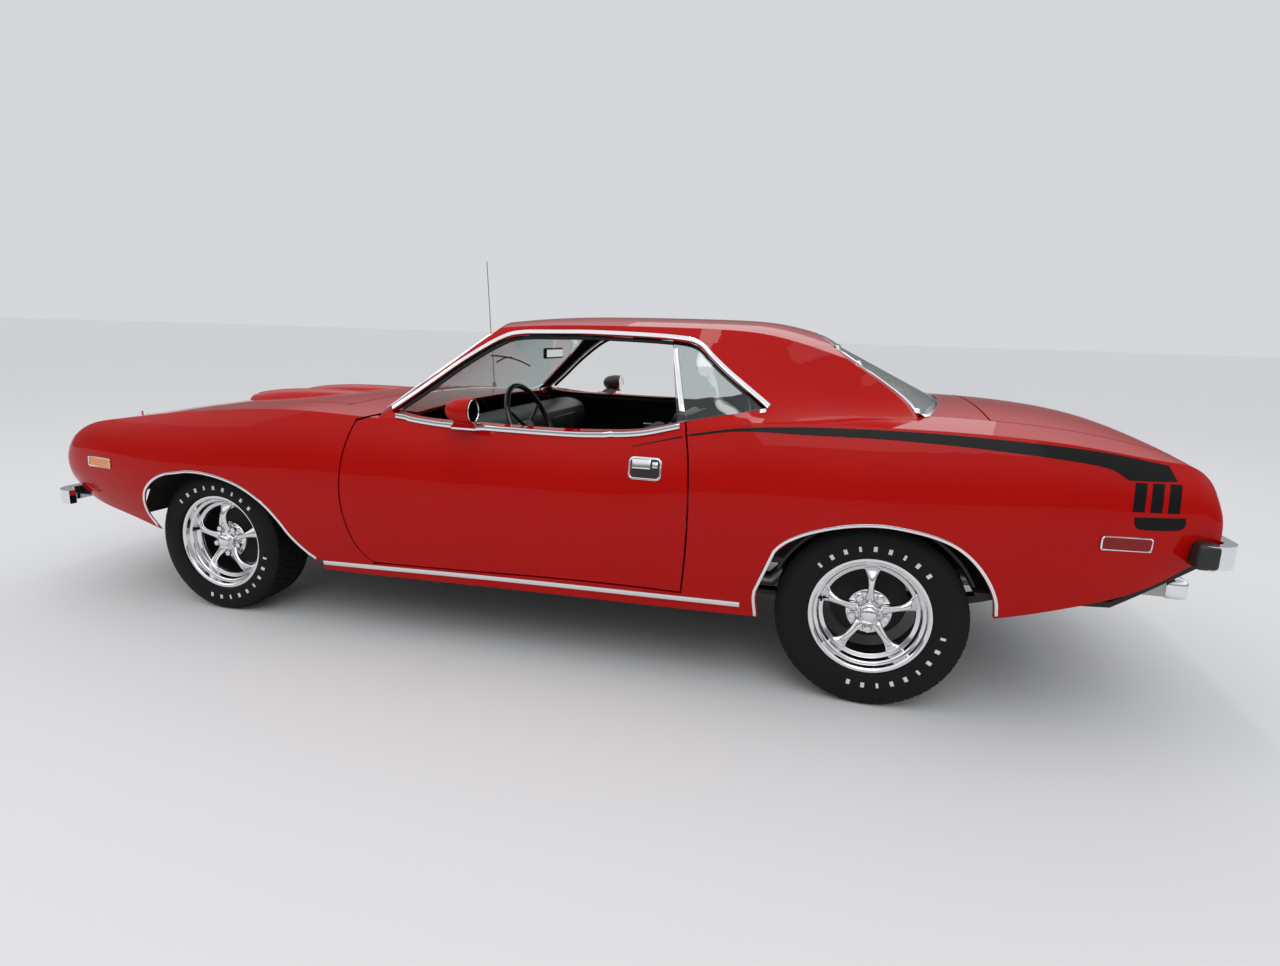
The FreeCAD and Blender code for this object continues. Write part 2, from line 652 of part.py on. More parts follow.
quarter_inside = body_solid(size("quarter_thickness"), 30, -90)
quarter = outer.common(prism(quarter_outline, -SKIN, 0, skew=SKEW))
quarter = quarter.cut(quarter_inside).cut(cabin_inside).cut(daylight_prism())
quarter = quarter.cut(prism(closed(REAR_ARCH), -SKIN, -300))
quarter = quarter.cut(slab(rear(975), rear(1100), -FAR, 0, -FAR, FAR))
deck_room = slab(rear(-300), rear(1100), -size("deck_half_width") - GAP, 10, BELT - 250, FAR).cut(cabin)
quarter = quarter.cut(deck_room).cut(slab(rear(-300), rear(1100), -450, 10, BELT - 250, FAR))

# Hood, fenders, nose and cowl
SCOOP_Y, SCOOP_LIP, SCOOP_END = size("scoop_spacing"), front(-size("scoop_reach")), front(420)
SCOOP_STATIONS = ((0, 1, 0.94), (0.15, 1.06, 1), (0.45, 0.84, 0.96), (0.75, 0.42, 0.82), (1, 0.04, 0.6))


def scoop():
    """Left hood scoop: a bulge that rises to an open lip at the front and fades out towards the windscreen."""
    height, half = size("scoop_height"), size("scoop_half_width")
    length = SCOOP_END - SCOOP_LIP
    sections = []
    for along, rise, breadth in SCOOP_STATIONS:
        x, wide = SCOOP_LIP + along * length, half * breadth
        foot = top_z(x, SCOOP_Y + wide) - 6
        arch = foot + height * rise * 1.4
        left_foot, left_arch = (x, -SCOOP_Y - wide, foot), (x, -SCOOP_Y - wide * 0.86, arch)
        right_foot, right_arch = (x, -SCOOP_Y + wide, foot), (x, -SCOOP_Y + wide * 0.86, arch)
        sections.append(Part.Wire([bezier(left_foot, left_arch, right_arch, right_foot),
                                   line(right_foot, left_foot)]))
    bulge = Part.makeLoft(sections, True, False)
    lip = top_z(SCOOP_LIP, SCOOP_Y)
    opening = slab(SCOOP_LIP - 20, SCOOP_LIP + 150, -SCOOP_Y - half * 0.62, -SCOOP_Y + half * 0.62,
                   lip + 5, lip + height * 0.78)
    return bulge, opening.makeFillet(12, [e for e in opening.Edges if e.BoundBox.XLength > 100])


lid_inside = body_solid(60, size("lid_thickness"), 0)
bulge, opening = scoop()
hood = body.common(hood_plan()).cut(lid_inside).multiFuse([bulge, mirrored(bulge)])
hood = hood.cut(opening).cut(mirrored(opening))
fender_inside = body_solid(size("fender_thickness"), size("fender_thickness"), -size("fender_thickness"))
fender_outline = closed(
    moved(DOOR_FRONT, -GAP),
    [(front(822), SILL + 40), (front(560), SILL + 40)],
    [(front(560), SILL - 60), (NOSE_BACK + SEAT, SILL - 60)],
    [(NOSE_BACK + SEAT, BELT + 200), (front(877), BELT + 200)],
    [(front(877), BELT + 28 + GAP), (front(748) - GAP, BELT - 16 + GAP)],
)
fender = body.common(prism(fender_outline, -SKIN, 0, skew=SKEW)).cut(fender_inside)
fender = fender.cut(hood_plan(GAP, 40)).cut(prism(closed(FRONT_ARCH), -SKIN, -300))
fender = fender.cut(slab(front(size("hood_rear")), front(1000), -700, 10, 0, FAR))
fender = largest(fender.cut(slab(-FAR, 0, -700, 10, 0, SILL + 260)).cut(slab(-FAR, NOSE_BACK + SEAT, -FAR,
                                                                             10, 0, FAR)))

cowl = body.common(slab(front(size("hood_rear")) + GAP, front(905), -700 + SEAT, 700 - SEAT, BELT - 150, FAR))
cowl = cowl.cut(body_solid(60, 10, 0))

nose_curve = [(front(-860), -SKIN), (front(-880), -720), (front(-908), -380), (front(-915), 0),
              (front(-908), 380),
              (front(-880), 720), (front(-860), SKIN)]
nose_trim = prism(closed(nose_curve, [(front(-1100), SKIN), (front(-1100), -SKIN)]), 0, 1000, "XY")
MOUTH = dict(half_width=678, low=SILL + 240, high=SILL + 388, divider=38)
nose = body.cut(nose_trim).common(slab(front(-930), NOSE_BACK, -FAR, FAR, 0, FAR))
nose_hollow = body_solid(16, 16, 16).common(slab(front(-848), NOSE_BACK + 10, -FAR, FAR, 0, FAR))
nose = nose.cut(nose_hollow)


def mouth(inset=0.0):
    """Left opening for the grille and headlamp, with round corners."""
    opening = slab(front(-1000), front(-700), -MOUTH["half_width"] + inset, -MOUTH["divider"] - inset,
                   MOUTH["low"] + inset, MOUTH["high"] - inset)
    return opening.makeFillet(40 - inset, [e for e in opening.Edges if e.BoundBox.XLength > 100])


nose = nose.cut(mouth()).cut(mirrored(mouth()))

LAMP_Y, LAMP_Z, LAMP_R = size("lamp_spacing"), SILL + 314, size("lamp_radius")
nacelle = Part.makeCylinder(LAMP_R + 3, 200, V(front(-1000), -LAMP_Y, LAMP_Z), V(1, 0, 0))
nose = nose.cut(nacelle).cut(mirrored(nacelle))

# Deck lid, rear deck, tail
DECK_FRONT, DECK_REAR = rear(size("deck_front")), rear(905)
deck_half = size("deck_half_width")
decklid = body.common(slab(DECK_FRONT, DECK_REAR, -deck_half, deck_half, BELT - 250, FAR)).cut(lid_inside)
rear_deck = body.common(slab(rear(0), DECK_FRONT - GAP, -deck_half - GAP + SEAT, deck_half + GAP - SEAT,
                             BELT, FAR))
deck_inside = body_solid(60, 10, 0)
rear_deck = rear_deck.cut(deck_inside).cut(cabin_inside).cut(cabin)
tail = body.common(slab(rear(975) + SEAT, rear(1010), -FAR, FAR, 0, FAR))
tail_lip = body.common(slab(DECK_REAR + 10, rear(990), -deck_half - GAP + SEAT, deck_half + GAP - SEAT,
                            BELT - 250, FAR))
tail = tail.fuse(tail_lip.cut(lid_inside))


def lid_hinge(x, y, z, forward):
    """Goose-neck arm of a lid, its pivot pin and the ears that carry the pin. The lid lies that way along x."""
    def at(a, h):
        return (x + forward * a, z + h)

    def around(radius, *angles):
        return [at(radius * math.cos(math.radians(a)), radius * math.sin(math.radians(a))) for a in angles]

    neck = closed([at(-7, 0), at(7, 0)], around(HINGE_BACK + 1, -87, -65, -45, -25, -8),
                  [at(HINGE_BACK + 1, 8), at(HINGE_BACK + 30, 8)], around(HINGE_BACK + 17, -5, -25, -45,
                                                                          -65, -93))
    along = V(0, 1, 0)
    eye = Part.makeCylinder(HINGE_EYE, 10, V(x, y - 5, z), along)
    bore = Part.makeCylinder(HINGE_PIN + PIN_FIT, 60, V(x, y - 30, z), along)
    pin = Part.makeCylinder(HINGE_PIN, 24, V(x, y - 12, z), along)
    ears = slab(x - 8, x + 8, y - 9, y - 5 - SEAT, z - 8, z + 30)
    ears = ears.fuse(slab(x - 8, x + 8, y + 5 + SEAT, y + 9, z - 8, z + 30))
    return prism(neck, y - 5, y + 5).fuse(eye).cut(bore), ears.fuse(pin)


HINGE_Y, HINGE_DROP, HINGE_BACK = 560, 22, 130
HINGE_PIN, HINGE_EYE = 4, 8
hood_rear = front(size("hood_rear"))
HOOD_HINGE = (hood_rear + HINGE_BACK, top_z(hood_rear + HINGE_BACK, HINGE_Y) - HINGE_DROP)
DECK_HINGE = (DECK_FRONT - HINGE_BACK, top_z(DECK_FRONT - HINGE_BACK, HINGE_Y) - HINGE_DROP)
for y in (-HINGE_Y, HINGE_Y):
    neck, ears = lid_hinge(HOOD_HINGE[0], y, HOOD_HINGE[1], -1)
    hood = hood.fuse(neck.common(body_solid(60, 6, 0)))
    cowl = cowl.fuse(ears.common(body_solid(60, 5, 0)))
    neck, ears = lid_hinge(DECK_HINGE[0], y, DECK_HINGE[1], 1)
    decklid = decklid.fuse(neck.common(body_solid(60, 6, 0)))
    rear_deck = rear_deck.fuse(ears.common(body_solid(60, 5, 0)))

# Sills
sill_inside = body_solid(96, 0, -90)
sill_outline = closed(
    [(front(575), SILL - 60), (front(575), SILL + 40 - SEAT)],
    [(front(816), SILL + 40 - SEAT), (front(828), SILL + 59 - GAP)],
    moved(DOOR_BOTTOM, 0, -GAP)[1:],
    [(rear(-656) + GAP - SEAT, SILL + 81), (rear(-656) + GAP - SEAT, SILL - 60)],
)
sill = body.common(prism(sill_outline, -SKIN, -300)).cut(sill_inside)

# Front valance, under the nose and behind the bumper
valance = body.common(slab(front(-860), front(-705), -700, 700, 0, SILL + 250)).cut(body_solid(-50, -50, 5))
valance = valance.fuse(slab(front(-862), front(-856), -700, 700, SILL + 130, SILL + 222))

# Side panel: rear quarter with its sail panel, and the sill under the door
side_panel = quarter.fuse(sill)


# Grille: two mouths of level bars in front of a dark plate
def grille_half():
    y0, y1 = -MOUTH["half_width"] + SEAT, -MOUTH["divider"] - SEAT
    low, high = MOUTH["low"] + SEAT, MOUTH["high"] - SEAT
    plate = slab(front(-852), front(-846), y0 + 4, y1, low + 3, high - 3)
    bars = []
    count = 7
    for i in range(count):
        z = low + 14 + (high - low - 28 - 6) * i / (count - 1)
        bars.append(slab(front(-872), front(-850), -LAMP_Y + LAMP_R + 4, y1 - 1, z, z + 6))
    for share in (0.15, 0.42, 0.69):
        y = y1 - share * (y1 - y0)
        bars.append(slab(front(-866), front(-850), y - 3, y + 3, low + 8, high - 8))
    return plate.multiFuse(bars).common(mouth(SEAT)).cut(nacelle)


grille_left = grille_half()
grille = grille_left.fuse([mirrored(grille_left)])


def revolved(profile, centre, axis):
    """Solid of revolution from a closed profile of (along, radius) pieces about an axis along x or y."""
    def point(p):
        return V(p[0], 0, p[1]) if axis == "x" else V(0, p[0], p[1])

    edges = []
    for piece in profile:
        points = [point(p) for p in piece]
        if len(points) == 2:
            edges.append(Part.LineSegment(*points).toShape())
        else:
            curve = Part.BezierCurve()
            curve.setPoles(points)
            edges.append(curve.toShape())
    solid = Part.Face(Part.Wire(edges)).revolve(V(0, 0, 0), V(1, 0, 0) if axis == "x" else V(0, 1, 0), 360)
    solid.translate(V(*centre))
    return solid


headlamp = revolved(closed(
    [(0, 0), (0, LAMP_R)],
    [(-24, LAMP_R), (-34, LAMP_R * 0.94), (-44, LAMP_R * 0.6), (-46, 0)],
), (front(-846), -LAMP_Y, LAMP_Z), "x")
headlamp = headlamp.fuse(Part.makeCylinder(LAMP_R + 3 - SEAT, 9, V(front(-856), -LAMP_Y, LAMP_Z), V(1, 0, 0)))

front_marker = raised(polygon((front(-667), SILL + 336), (front(-513), SILL + 340), (front(-513), SILL + 379),
                              (front(-667), SILL + 375)), 4, -700)
rear_marker = raised(polygon((rear(663), BELT - 254), (rear(807), BELT - 257), (rear(809), BELT - 218),
                             (rear(661), BELT - 216)), 4, -700)
LAMP_POCKET = 12
lamp_box = slab(rear(1010) - LAMP_POCKET, rear(1060), -700, -330, BELT - 210, BELT - 118)
lamp_box = lamp_box.makeFillet(14, [e for e in lamp_box.Edges if e.BoundBox.XLength > 50])
tail = tail.cut(lamp_box).cut(mirrored(lamp_box))
tail_lamp = lamp_box.common(slab(rear(1010) - LAMP_POCKET, rear(1014), -700 + SEAT, -330 - SEAT,
                                 BELT - 210 + SEAT,
                                 BELT - 118 - SEAT))


def bumper(corner, face, inner_corner, inner_face, middle_z, height):
    """Bar between two plan curves. Each is given as its left corner and its left half of the face."""
    def across(run):
        return run + [(x, -y) for x, y in reversed(run[:-1])]

    def other(run):
        return [(x, -y) for x, y in reversed(run)]

    back = [list(reversed(run)) for run in (other(inner_corner), across(inner_face), inner_corner)]
    outline = closed(corner, across(face), other(corner), *back)
    return prism(outline, middle_z - height / 2, middle_z + height / 2, "XY")


DEPTH = size("bumper_depth")
FACE = front(-size("front_overhang"))
front_bumper = bumper(
    [(FACE + 155, 65 - WIDE), (FACE + 96, 73 - WIDE), (FACE + 56, 105 - WIDE), (FACE + 38, 161 - WIDE)],
    [(FACE + 38, 161 - WIDE), (FACE + 12, -420), (FACE, 0)],
    [(FACE + 155, 65 - WIDE + DEPTH * 0.7), (FACE + 112, 73 - WIDE + DEPTH * 0.8),
     (FACE + 56 + DEPTH * 0.7, 135 - WIDE), (FACE + 38 + DEPTH, 171 - WIDE)],
    [(FACE + 38 + DEPTH, 171 - WIDE), (FACE + 12 + DEPTH, -420), (FACE + DEPTH, 0)],
    size("front_bumper_z"), size("front_bumper_height"))
iron = slab(FACE + DEPTH - 6, front(-862) - SEAT, -400, -320, size("front_bumper_z") - 18,
            size("front_bumper_z") + 18)
front_bumper = front_bumper.fuse(iron).fuse(mirrored(iron))
TAIL_FACE = rear(size("rear_overhang"))
rear_bumper = bumper(
    [(TAIL_FACE - 129, 59 - WIDE), (TAIL_FACE - 66, 65 - WIDE), (TAIL_FACE - 30, 97 - WIDE),
     (TAIL_FACE - 16, 151 - WIDE)],
    [(TAIL_FACE - 16, 151 - WIDE), (TAIL_FACE - 6, -420), (TAIL_FACE, 0)],
    [(TAIL_FACE - 129, 59 - WIDE + DEPTH * 0.6), (TAIL_FACE - 76, 65 - WIDE + DEPTH * 0.7),
     (TAIL_FACE - 58, 117 - WIDE), (TAIL_FACE - 16 - DEPTH * 0.85, 151 - WIDE)],
    [(TAIL_FACE - 16 - DEPTH * 0.85, 151 - WIDE), (TAIL_FACE - 8 - DEPTH, -420), (TAIL_FACE - DEPTH, 0)],
    size("rear_bumper_z"), size("rear_bumper_height"))
iron = slab(rear(1010) + SEAT, TAIL_FACE - DEPTH + 6, -400, -320, size("rear_bumper_z") - 6,
            size("rear_bumper_z") + 24)
rear_bumper = rear_bumper.fuse(iron).fuse(mirrored(iron))
FLOOR, FLOOR_T = size("floor_z"), size("floor_thickness")
PILLAR_OUT = WIDE - 167
PILLAR_IN = WIDE - 213

# Inner body: firewall, hinge pillars, aprons beside the engine and the radiator's support
firewall = slab(front(440), front(462), -PILLAR_IN, PILLAR_IN, FLOOR + SEAT, BELT - 20)
firewall = firewall.cut(slab(front(400), front(500), -152, 152, 0, FLOOR + 170))
pillar = slab(front(440), front(900), -PILLAR_OUT, -PILLAR_IN, FLOOR + SEAT, BELT - 20)
pillar = pillar.cut(slab(front(470), front(700), -PILLAR_OUT + 16, -700, FLOOR + 40, BELT - 60))
apron_outline = polygon((front(-640), BELT - 175), (front(440), BELT - 30), (front(440), FLOOR + 20),
                        (front(330), FLOOR + 110), (front(-330), FLOOR + 110), (front(-640), FLOOR + 90))
apron_left = prism(apron_outline, -448, -440)
support = slab(front(-700), front(-640), -448, 448, FLOOR + 90, BELT - 178)
support = support.cut(slab(front(-720), front(-600), -330, 330, FLOOR + 120, BELT - 220))
hinge_arms = []
for z in DOOR_HINGE_Z:
    arm_plate = slab(DOOR_X - HINGE_LEAF / 2, DOOR_X + HINGE_LEAF / 2, -DOOR_Y, -PILLAR_OUT + 1,
                     z - HINGE_LEAF / 3, z + HINGE_LEAF / 3)
    eye = Part.makeCylinder(HINGE_LEAF / 2, HINGE_LEAF * 2 / 3, V(DOOR_X, -DOOR_Y, z - HINGE_LEAF / 3))
    bore = Part.makeCylinder(DOOR_PIN + PIN_FIT, 2 * HINGE_LEAF, V(DOOR_X, -DOOR_Y, z - HINGE_LEAF))
    hinge_arms.append(arm_plate.fuse(eye).cut(bore))
pillar = pillar.multiFuse(hinge_arms)
inner_body = firewall.multiFuse([pillar, mirrored(pillar), apron_left, mirrored(apron_left), support])

# Floor with its tunnel, the step up to the rear seat, and the load floor with its wheelhouses
floor_plate = piece("floor_plate", body_solid(96 + SEAT, 0, -90).common(
    slab(front(440), rear(-430), -FAR, FAR, FLOOR - FLOOR_T, FLOOR)))
TUNNEL_LENGTH = "d.wheelbase - 870"
tunnel = box("tunnel", FRONT_X + " + 440", -150, "d.floor_z - d.floor_thickness", TUNNEL_LENGTH, 300,
             "d.floor_thickness + 150")
tunnel_hollow = box("tunnel_hollow", FRONT_X + " + 430", -130, 0, TUNNEL_LENGTH + " + 20", 260,
                    "d.floor_z + 130")
floor_pan = less("floor", fused("floor_and_tunnel", floor_plate, tunnel), tunnel_hollow)

quarter_room = body_solid(size("quarter_thickness") + SEAT, 30 + SEAT, -90)
WELL_R = size("rear_tyre_radius") + 20
HUB = size("rear_tyre_radius")
seat_pan = slab(rear(-430) + SEAT, rear(290), -FAR, FAR, FLOOR + 182, FLOOR + 202)
step_plate = slab(rear(-430) + SEAT, rear(-412), -FAR, FAR, FLOOR - FLOOR_T, FLOOR + 202)
step_plate = step_plate.cut(slab(rear(-500), rear(-400), -150, 150, 0, FLOOR + 150))
load_floor = prism(polygon(
    (rear(270), FLOOR + 122), (rear(740), FLOOR + 122), (rear(975), FLOOR + 270), (rear(975), FLOOR + 292),
    (rear(736), FLOOR + 142), (rear(270), FLOOR + 142)), -FAR, FAR)
load_step = slab(rear(270), rear(290), -FAR, FAR, FLOOR + 122, FLOOR + 202)
wheelhouse = Part.makeCylinder(WELL_R + 9, 310, V(rear(0), -914, HUB), V(0, 1, 0))
wheelhouse = wheelhouse.cut(slab(-FAR, FAR, -FAR, FAR, 0, FLOOR + 160))
trunk_floor = seat_pan.multiFuse([step_plate, load_floor, load_step, wheelhouse, mirrored(wheelhouse)])
well = Part.makeCylinder(WELL_R, 400, V(rear(0), -1013, HUB), V(0, 1, 0))
well = well.fuse(slab(rear(-WELL_R), rear(WELL_R), -1013, -613, 0, HUB))
trunk_floor = trunk_floor.cut(well).cut(mirrored(well)).common(quarter_room).cut(sill).cut(mirrored(sill))

# Interior
seat_profile = closed(
    [(front(1240), FLOOR + 20), (front(1230), FLOOR + 120), (front(1262), FLOOR + 168),
     (front(1320), FLOOR + 172)],
    [(front(1320), FLOOR + 172), (front(1640), FLOOR + 138)],
    [(front(1640), FLOOR + 138), (front(1668), FLOOR + 160), (front(1740), FLOOR + 560),
     (front(1770), FLOOR + 620),
     (front(1810), FLOOR + 612), (front(1830), FLOOR + 560)],
    [(front(1830), FLOOR + 560), (front(1766), FLOOR + 20)],
)
SEAT_Y, SEAT_W = size("seat_spacing"), size("seat_width")
front_seat = prism(seat_profile, -SEAT_Y - SEAT_W / 2, -SEAT_Y + SEAT_W / 2)
seat_rails = slab(front(1300), front(1700), -SEAT_Y - 180, -SEAT_Y + 180, FLOOR + SEAT, FLOOR + 20)
front_seat = front_seat.fuse(seat_rails)
bench_profile = closed(
    [(rear(-620), FLOOR + SEAT), (rear(-625), FLOOR + 230), (rear(-590), FLOOR + 262),
     (rear(-540), FLOOR + 262)],
    [(rear(-540), FLOOR + 262), (rear(-300), FLOOR + 240)],
    [(rear(-300), FLOOR + 240), (rear(-270), FLOOR + 260), (rear(-190), FLOOR + 560),
     (rear(-165), FLOOR + 585),
     (rear(-120), FLOOR + 580)],
    [(rear(-120), FLOOR + 580), (rear(-120), FLOOR + 202 + SEAT)],
    [(rear(-430) - SEAT, FLOOR + 202 + SEAT), (rear(-430) - SEAT, FLOOR + SEAT)],
)
rear_seat = prism(bench_profile, -590, 590)
rear_seat = rear_seat.cut(slab(rear(-900), rear(-430), -150 - SEAT, 150 + SEAT, 0, FLOOR + 150 + SEAT))
dash_profile = closed(
    [(front(880), BELT - 60), (front(960), BELT - 30), (front(1080), BELT - 34), (front(1120), BELT - 60)],
    [(front(1120), BELT - 60), (front(1090), BELT - 230), (front(1000), BELT - 290),
     (front(900), BELT - 290)],
    [(front(900), BELT - 290), (front(880), BELT - 60)],
)
dash = prism(dash_profile, -PILLAR_IN + SEAT, PILLAR_IN - SEAT)
WHEEL_AT = V(front(1290), -SEAT_Y, BELT - 55)
TILT = math.radians(24)
COLUMN = V(-math.cos(TILT), 0, -math.sin(TILT))
column = Part.makeCylinder(26, 300, WHEEL_AT + COLUMN * (60 + SEAT), COLUMN)
lower_column = Part.makeCylinder(16, 700, WHEEL_AT + COLUMN * 300, COLUMN).common(
    slab(front(462) + SEAT, front(1200), -FAR, FAR, 0, FAR))
dashboard = dash.fuse(column).fuse(lower_column)
RIM_R, TUBE_R = size("steering_wheel_radius"), size("steering_tube_radius")
ring = Part.makeTorus(RIM_R, TUBE_R, WHEEL_AT, COLUMN)
wheel_hub = Part.makeCylinder(34, 56, WHEEL_AT + COLUMN * 4, COLUMN)
steering_wheel = ring.fuse(wheel_hub)
across = V(0, 1, 0)
up_wheel = COLUMN.cross(across)
for angle in (0, 120, 240):
    a = math.radians(angle + 210)
    way = across * math.cos(a) + up_wheel * math.sin(a)
    start = WHEEL_AT + COLUMN * 22
    end = WHEEL_AT + way * RIM_R
    steering_wheel = steering_wheel.fuse(Part.makeCylinder(7, (end - start).Length, start, end - start))

# Engine as a plain block with its gearbox
F_HUB = size("front_tyre_radius")
SHAFT_Z = "d.floor_z + 22"
engine = fused(
    "engine",
    box("cylinder_block", FRONT_X + " - 330", "-d.engine_width / 2", "d.front_tyre_radius - 10 + d.seat_gap",
        "d.engine_length", "d.engine_width", "d.engine_height"),
    cone("bell_housing", FRONT_X + " - 340 + d.engine_length", 0, SHAFT_Z, 118, 92, 300, "x"),
    cylinder("gearbox", FRONT_X + " - 80 + d.engine_length", 0, SHAFT_Z, 70, 420, "x"))

# Front suspension: rails, cross member and control arms, with the steering axes at the arms' ends
PIN_Y = size("kingpin_half_span")
KNUCKLE_LOW = F_HUB - 90
KNUCKLE_HIGH = KNUCKLE_LOW + size("knuckle_height")
KINGPIN_R = size("kingpin_radius")
rail_left = slab(front(-640), front(430), -400, -330, F_HUB + 30, F_HUB + 100)
cross = slab(front(-80), front(80), -400, 400, F_HUB - 80, F_HUB - 10)
posts = slab(front(-60), front(60), -400, -330, F_HUB - 40, F_HUB + 60)


def arm(low, high, reach):
    plan = closed([(front(-reach), -380), (front(-26), -PIN_Y)],
                  [(front(-26), -PIN_Y), (front(-18), -PIN_Y - 12), (front(18), -PIN_Y - 12),
                   (front(26), -PIN_Y)],
                  [(front(26), -PIN_Y), (front(reach), -380)])
    return prism(plan, low, high, "XY")


lower_arm = arm(KNUCKLE_LOW - 24, KNUCKLE_LOW - SEAT, 120)
upper_arm = arm(KNUCKLE_HIGH + SEAT, KNUCKLE_HIGH + 18, 90)
tower = slab(front(-90), front(90), -439, -330, F_HUB + 96, F_HUB + 118)
lower_mount = slab(front(-110), front(110), -400, -360, KNUCKLE_LOW - 24, F_HUB - 60)
kingpin = Part.makeCylinder(KINGPIN_R, KNUCKLE_HIGH - KNUCKLE_LOW + 10, V(front(0), -PIN_Y, KNUCKLE_LOW - 5))
one_side = rail_left.multiFuse([posts, lower_arm, upper_arm, tower, lower_mount, kingpin])
front_subframe = cross.multiFuse([one_side, mirrored(one_side)])

# Knuckle on its kingpin, with the brake disc and the spindle
UPRIGHT = "d.knuckle_height"
pin_y = "-d.kingpin_half_span"
upright = fused(
    "upright",
    box("knuckle_block", FRONT_X + " - 24", pin_y + " - 22", "d.front_tyre_radius - 90", 48, 44, UPRIGHT),
    cylinder("brake_disc", FRONT_X, pin_y + " - 45", "d.front_tyre_radius", "d.disc_radius", 25, "y"),
    cylinder("spindle", FRONT_X, pin_y + " - 118", "d.front_tyre_radius", "d.spindle_radius", 90, "y"))
knuckle = less("knuckle", upright, cylinder(
    "kingpin_bore", FRONT_X, pin_y, "d.front_tyre_radius - 100", "d.kingpin_radius + d.pin_fit", UPRIGHT + " + 20"))


def wheel_tyre(name, axle_x, track, radius, width, rim_width):
    """Tyre on an axis along y, its beads seated on the rim."""
    tyre = doc.addObject("PartDesign::Body", name)
    half, bead, lip = f"{width} / 2", f"{rim_width} / 2 - 11", "d.rim_radius"
    right = [
        (bead, f"{lip} - 15 + d.seat_gap"), (bead, f"{lip} + 1"), (f"{half} - 5", f"{lip} + 6"),
        (f"{half} + 2", f"({lip} + {radius}) / 2"), (f"{half} - 4", f"{radius} - 20"),
        (f"{half} - 30", f"{radius} - 2"), (f"{half} - 60", radius),
    ]
    left_side = [(f"-({along})", high) for along, high in reversed(right)]
    turned(tyre, name + "_ring", right + left_side)
    return place(tyre, axle_x, f"-{track} / 2", radius)


def wheel_rim(name, axle_x, track, radius, width):
    """Five-spoke wheel on an axis along y, its outer face towards -y. The stepped lip leads down to the spokes."""
    rim = doc.addObject("PartDesign::Body", name)
    face, back, lip, seat = f"-{width} / 2", f"{width} / 2", "d.rim_radius", "d.rim_radius - 15"
    turned(rim, name + "_barrel", [
        (face, lip), (f"{face} + 8", lip), (f"{face} + 10", seat), (f"{back} - 10", seat), (f"{back} - 8",
                                                                                            lip),
        (back, lip), (back, f"{lip} - 14"), (f"{back} - 24", f"{seat} - 9"),
        (f"{face} + d.dish_depth + 20", f"{seat} - 9"), (f"{face} + d.dish_depth + 16", "d.dish_radius + 2"),
        (f"{face} + d.dish_depth", "d.dish_radius"), (f"{face} + d.dish_depth - 6", "d.dish_radius + 22"),
        (f"{face} + 22", f"{lip} - 27"), (f"{face} + 20", f"{lip} - 19"), (f"{face} + 3", f"{lip} - 17"),
        (face, f"{lip} - 10"),
    ])
    sections = []
    for at, (high, near, far, fore, aft) in enumerate((
            (60, 19, 22, -10, 30), (120, 20, 24, -20, 14), ("d.dish_radius + 8", 34, 38, -4, 16))):
        ends = (f"{face} + d.dish_depth + ({fore})", f"{face} + d.dish_depth + ({aft})")
        sections.append(sketch(rim, f"{name}_spoke_{at}", "XY_Plane",
                               [(-near, ends[0]), (near, ends[0]), (far, ends[1]), (-far, ends[1])], high))
    spoke = rim.newObject("PartDesign::AdditiveLoft", name + "_spoke")
    spoke.Profile = sections[0]
    spoke.Sections = sections[1:]
    doc.recompute()
    spokes = rim.newObject("PartDesign::PolarPattern", name + "_spokes")
    spokes.Originals = [spoke]
    spokes.Axis = (origin_feature(rim, "Y_Axis"), [""])
    spokes.Angle = 360
    bind(spokes, Occurrences="d.spoke_count")
    rim.Tip = spokes
    doc.recompute()
    hub = f"{face} + d.dish_depth - 8"
    bore = "d.spindle_radius + d.seat_gap"
    turned(rim, name + "_hub", [
        (f"{hub} - 26", 0), (f"{hub} - 26", 28), (f"{hub} - 20", 36), (hub, 42), (hub, 76), (f"{hub} + 42",
                                                                                             76),
        (f"{hub} + 42", bore), (f"{hub} + 8", bore), (f"{hub} + 8", 0),
    ])
    return place(rim, axle_x, f"-{track} / 2", radius)


wheels = []
for end, axle_x in (("front", FRONT_X), ("rear", REAR_X)):
    cells = [f"d.{end}_{word}" for word in ("track", "tyre_radius", "tyre_width", "rim_width")]
    track, tyre_radius, tyre_width, rim_width = cells
    wheels.append((f"tyre_{end}_", wheel_tyre(f"{end}_tyre", axle_x, track, tyre_radius, tyre_width,
                                              rim_width)))
    wheels.append((f"rim_{end}_", wheel_rim(f"{end}_rim", axle_x, track, tyre_radius, rim_width)))

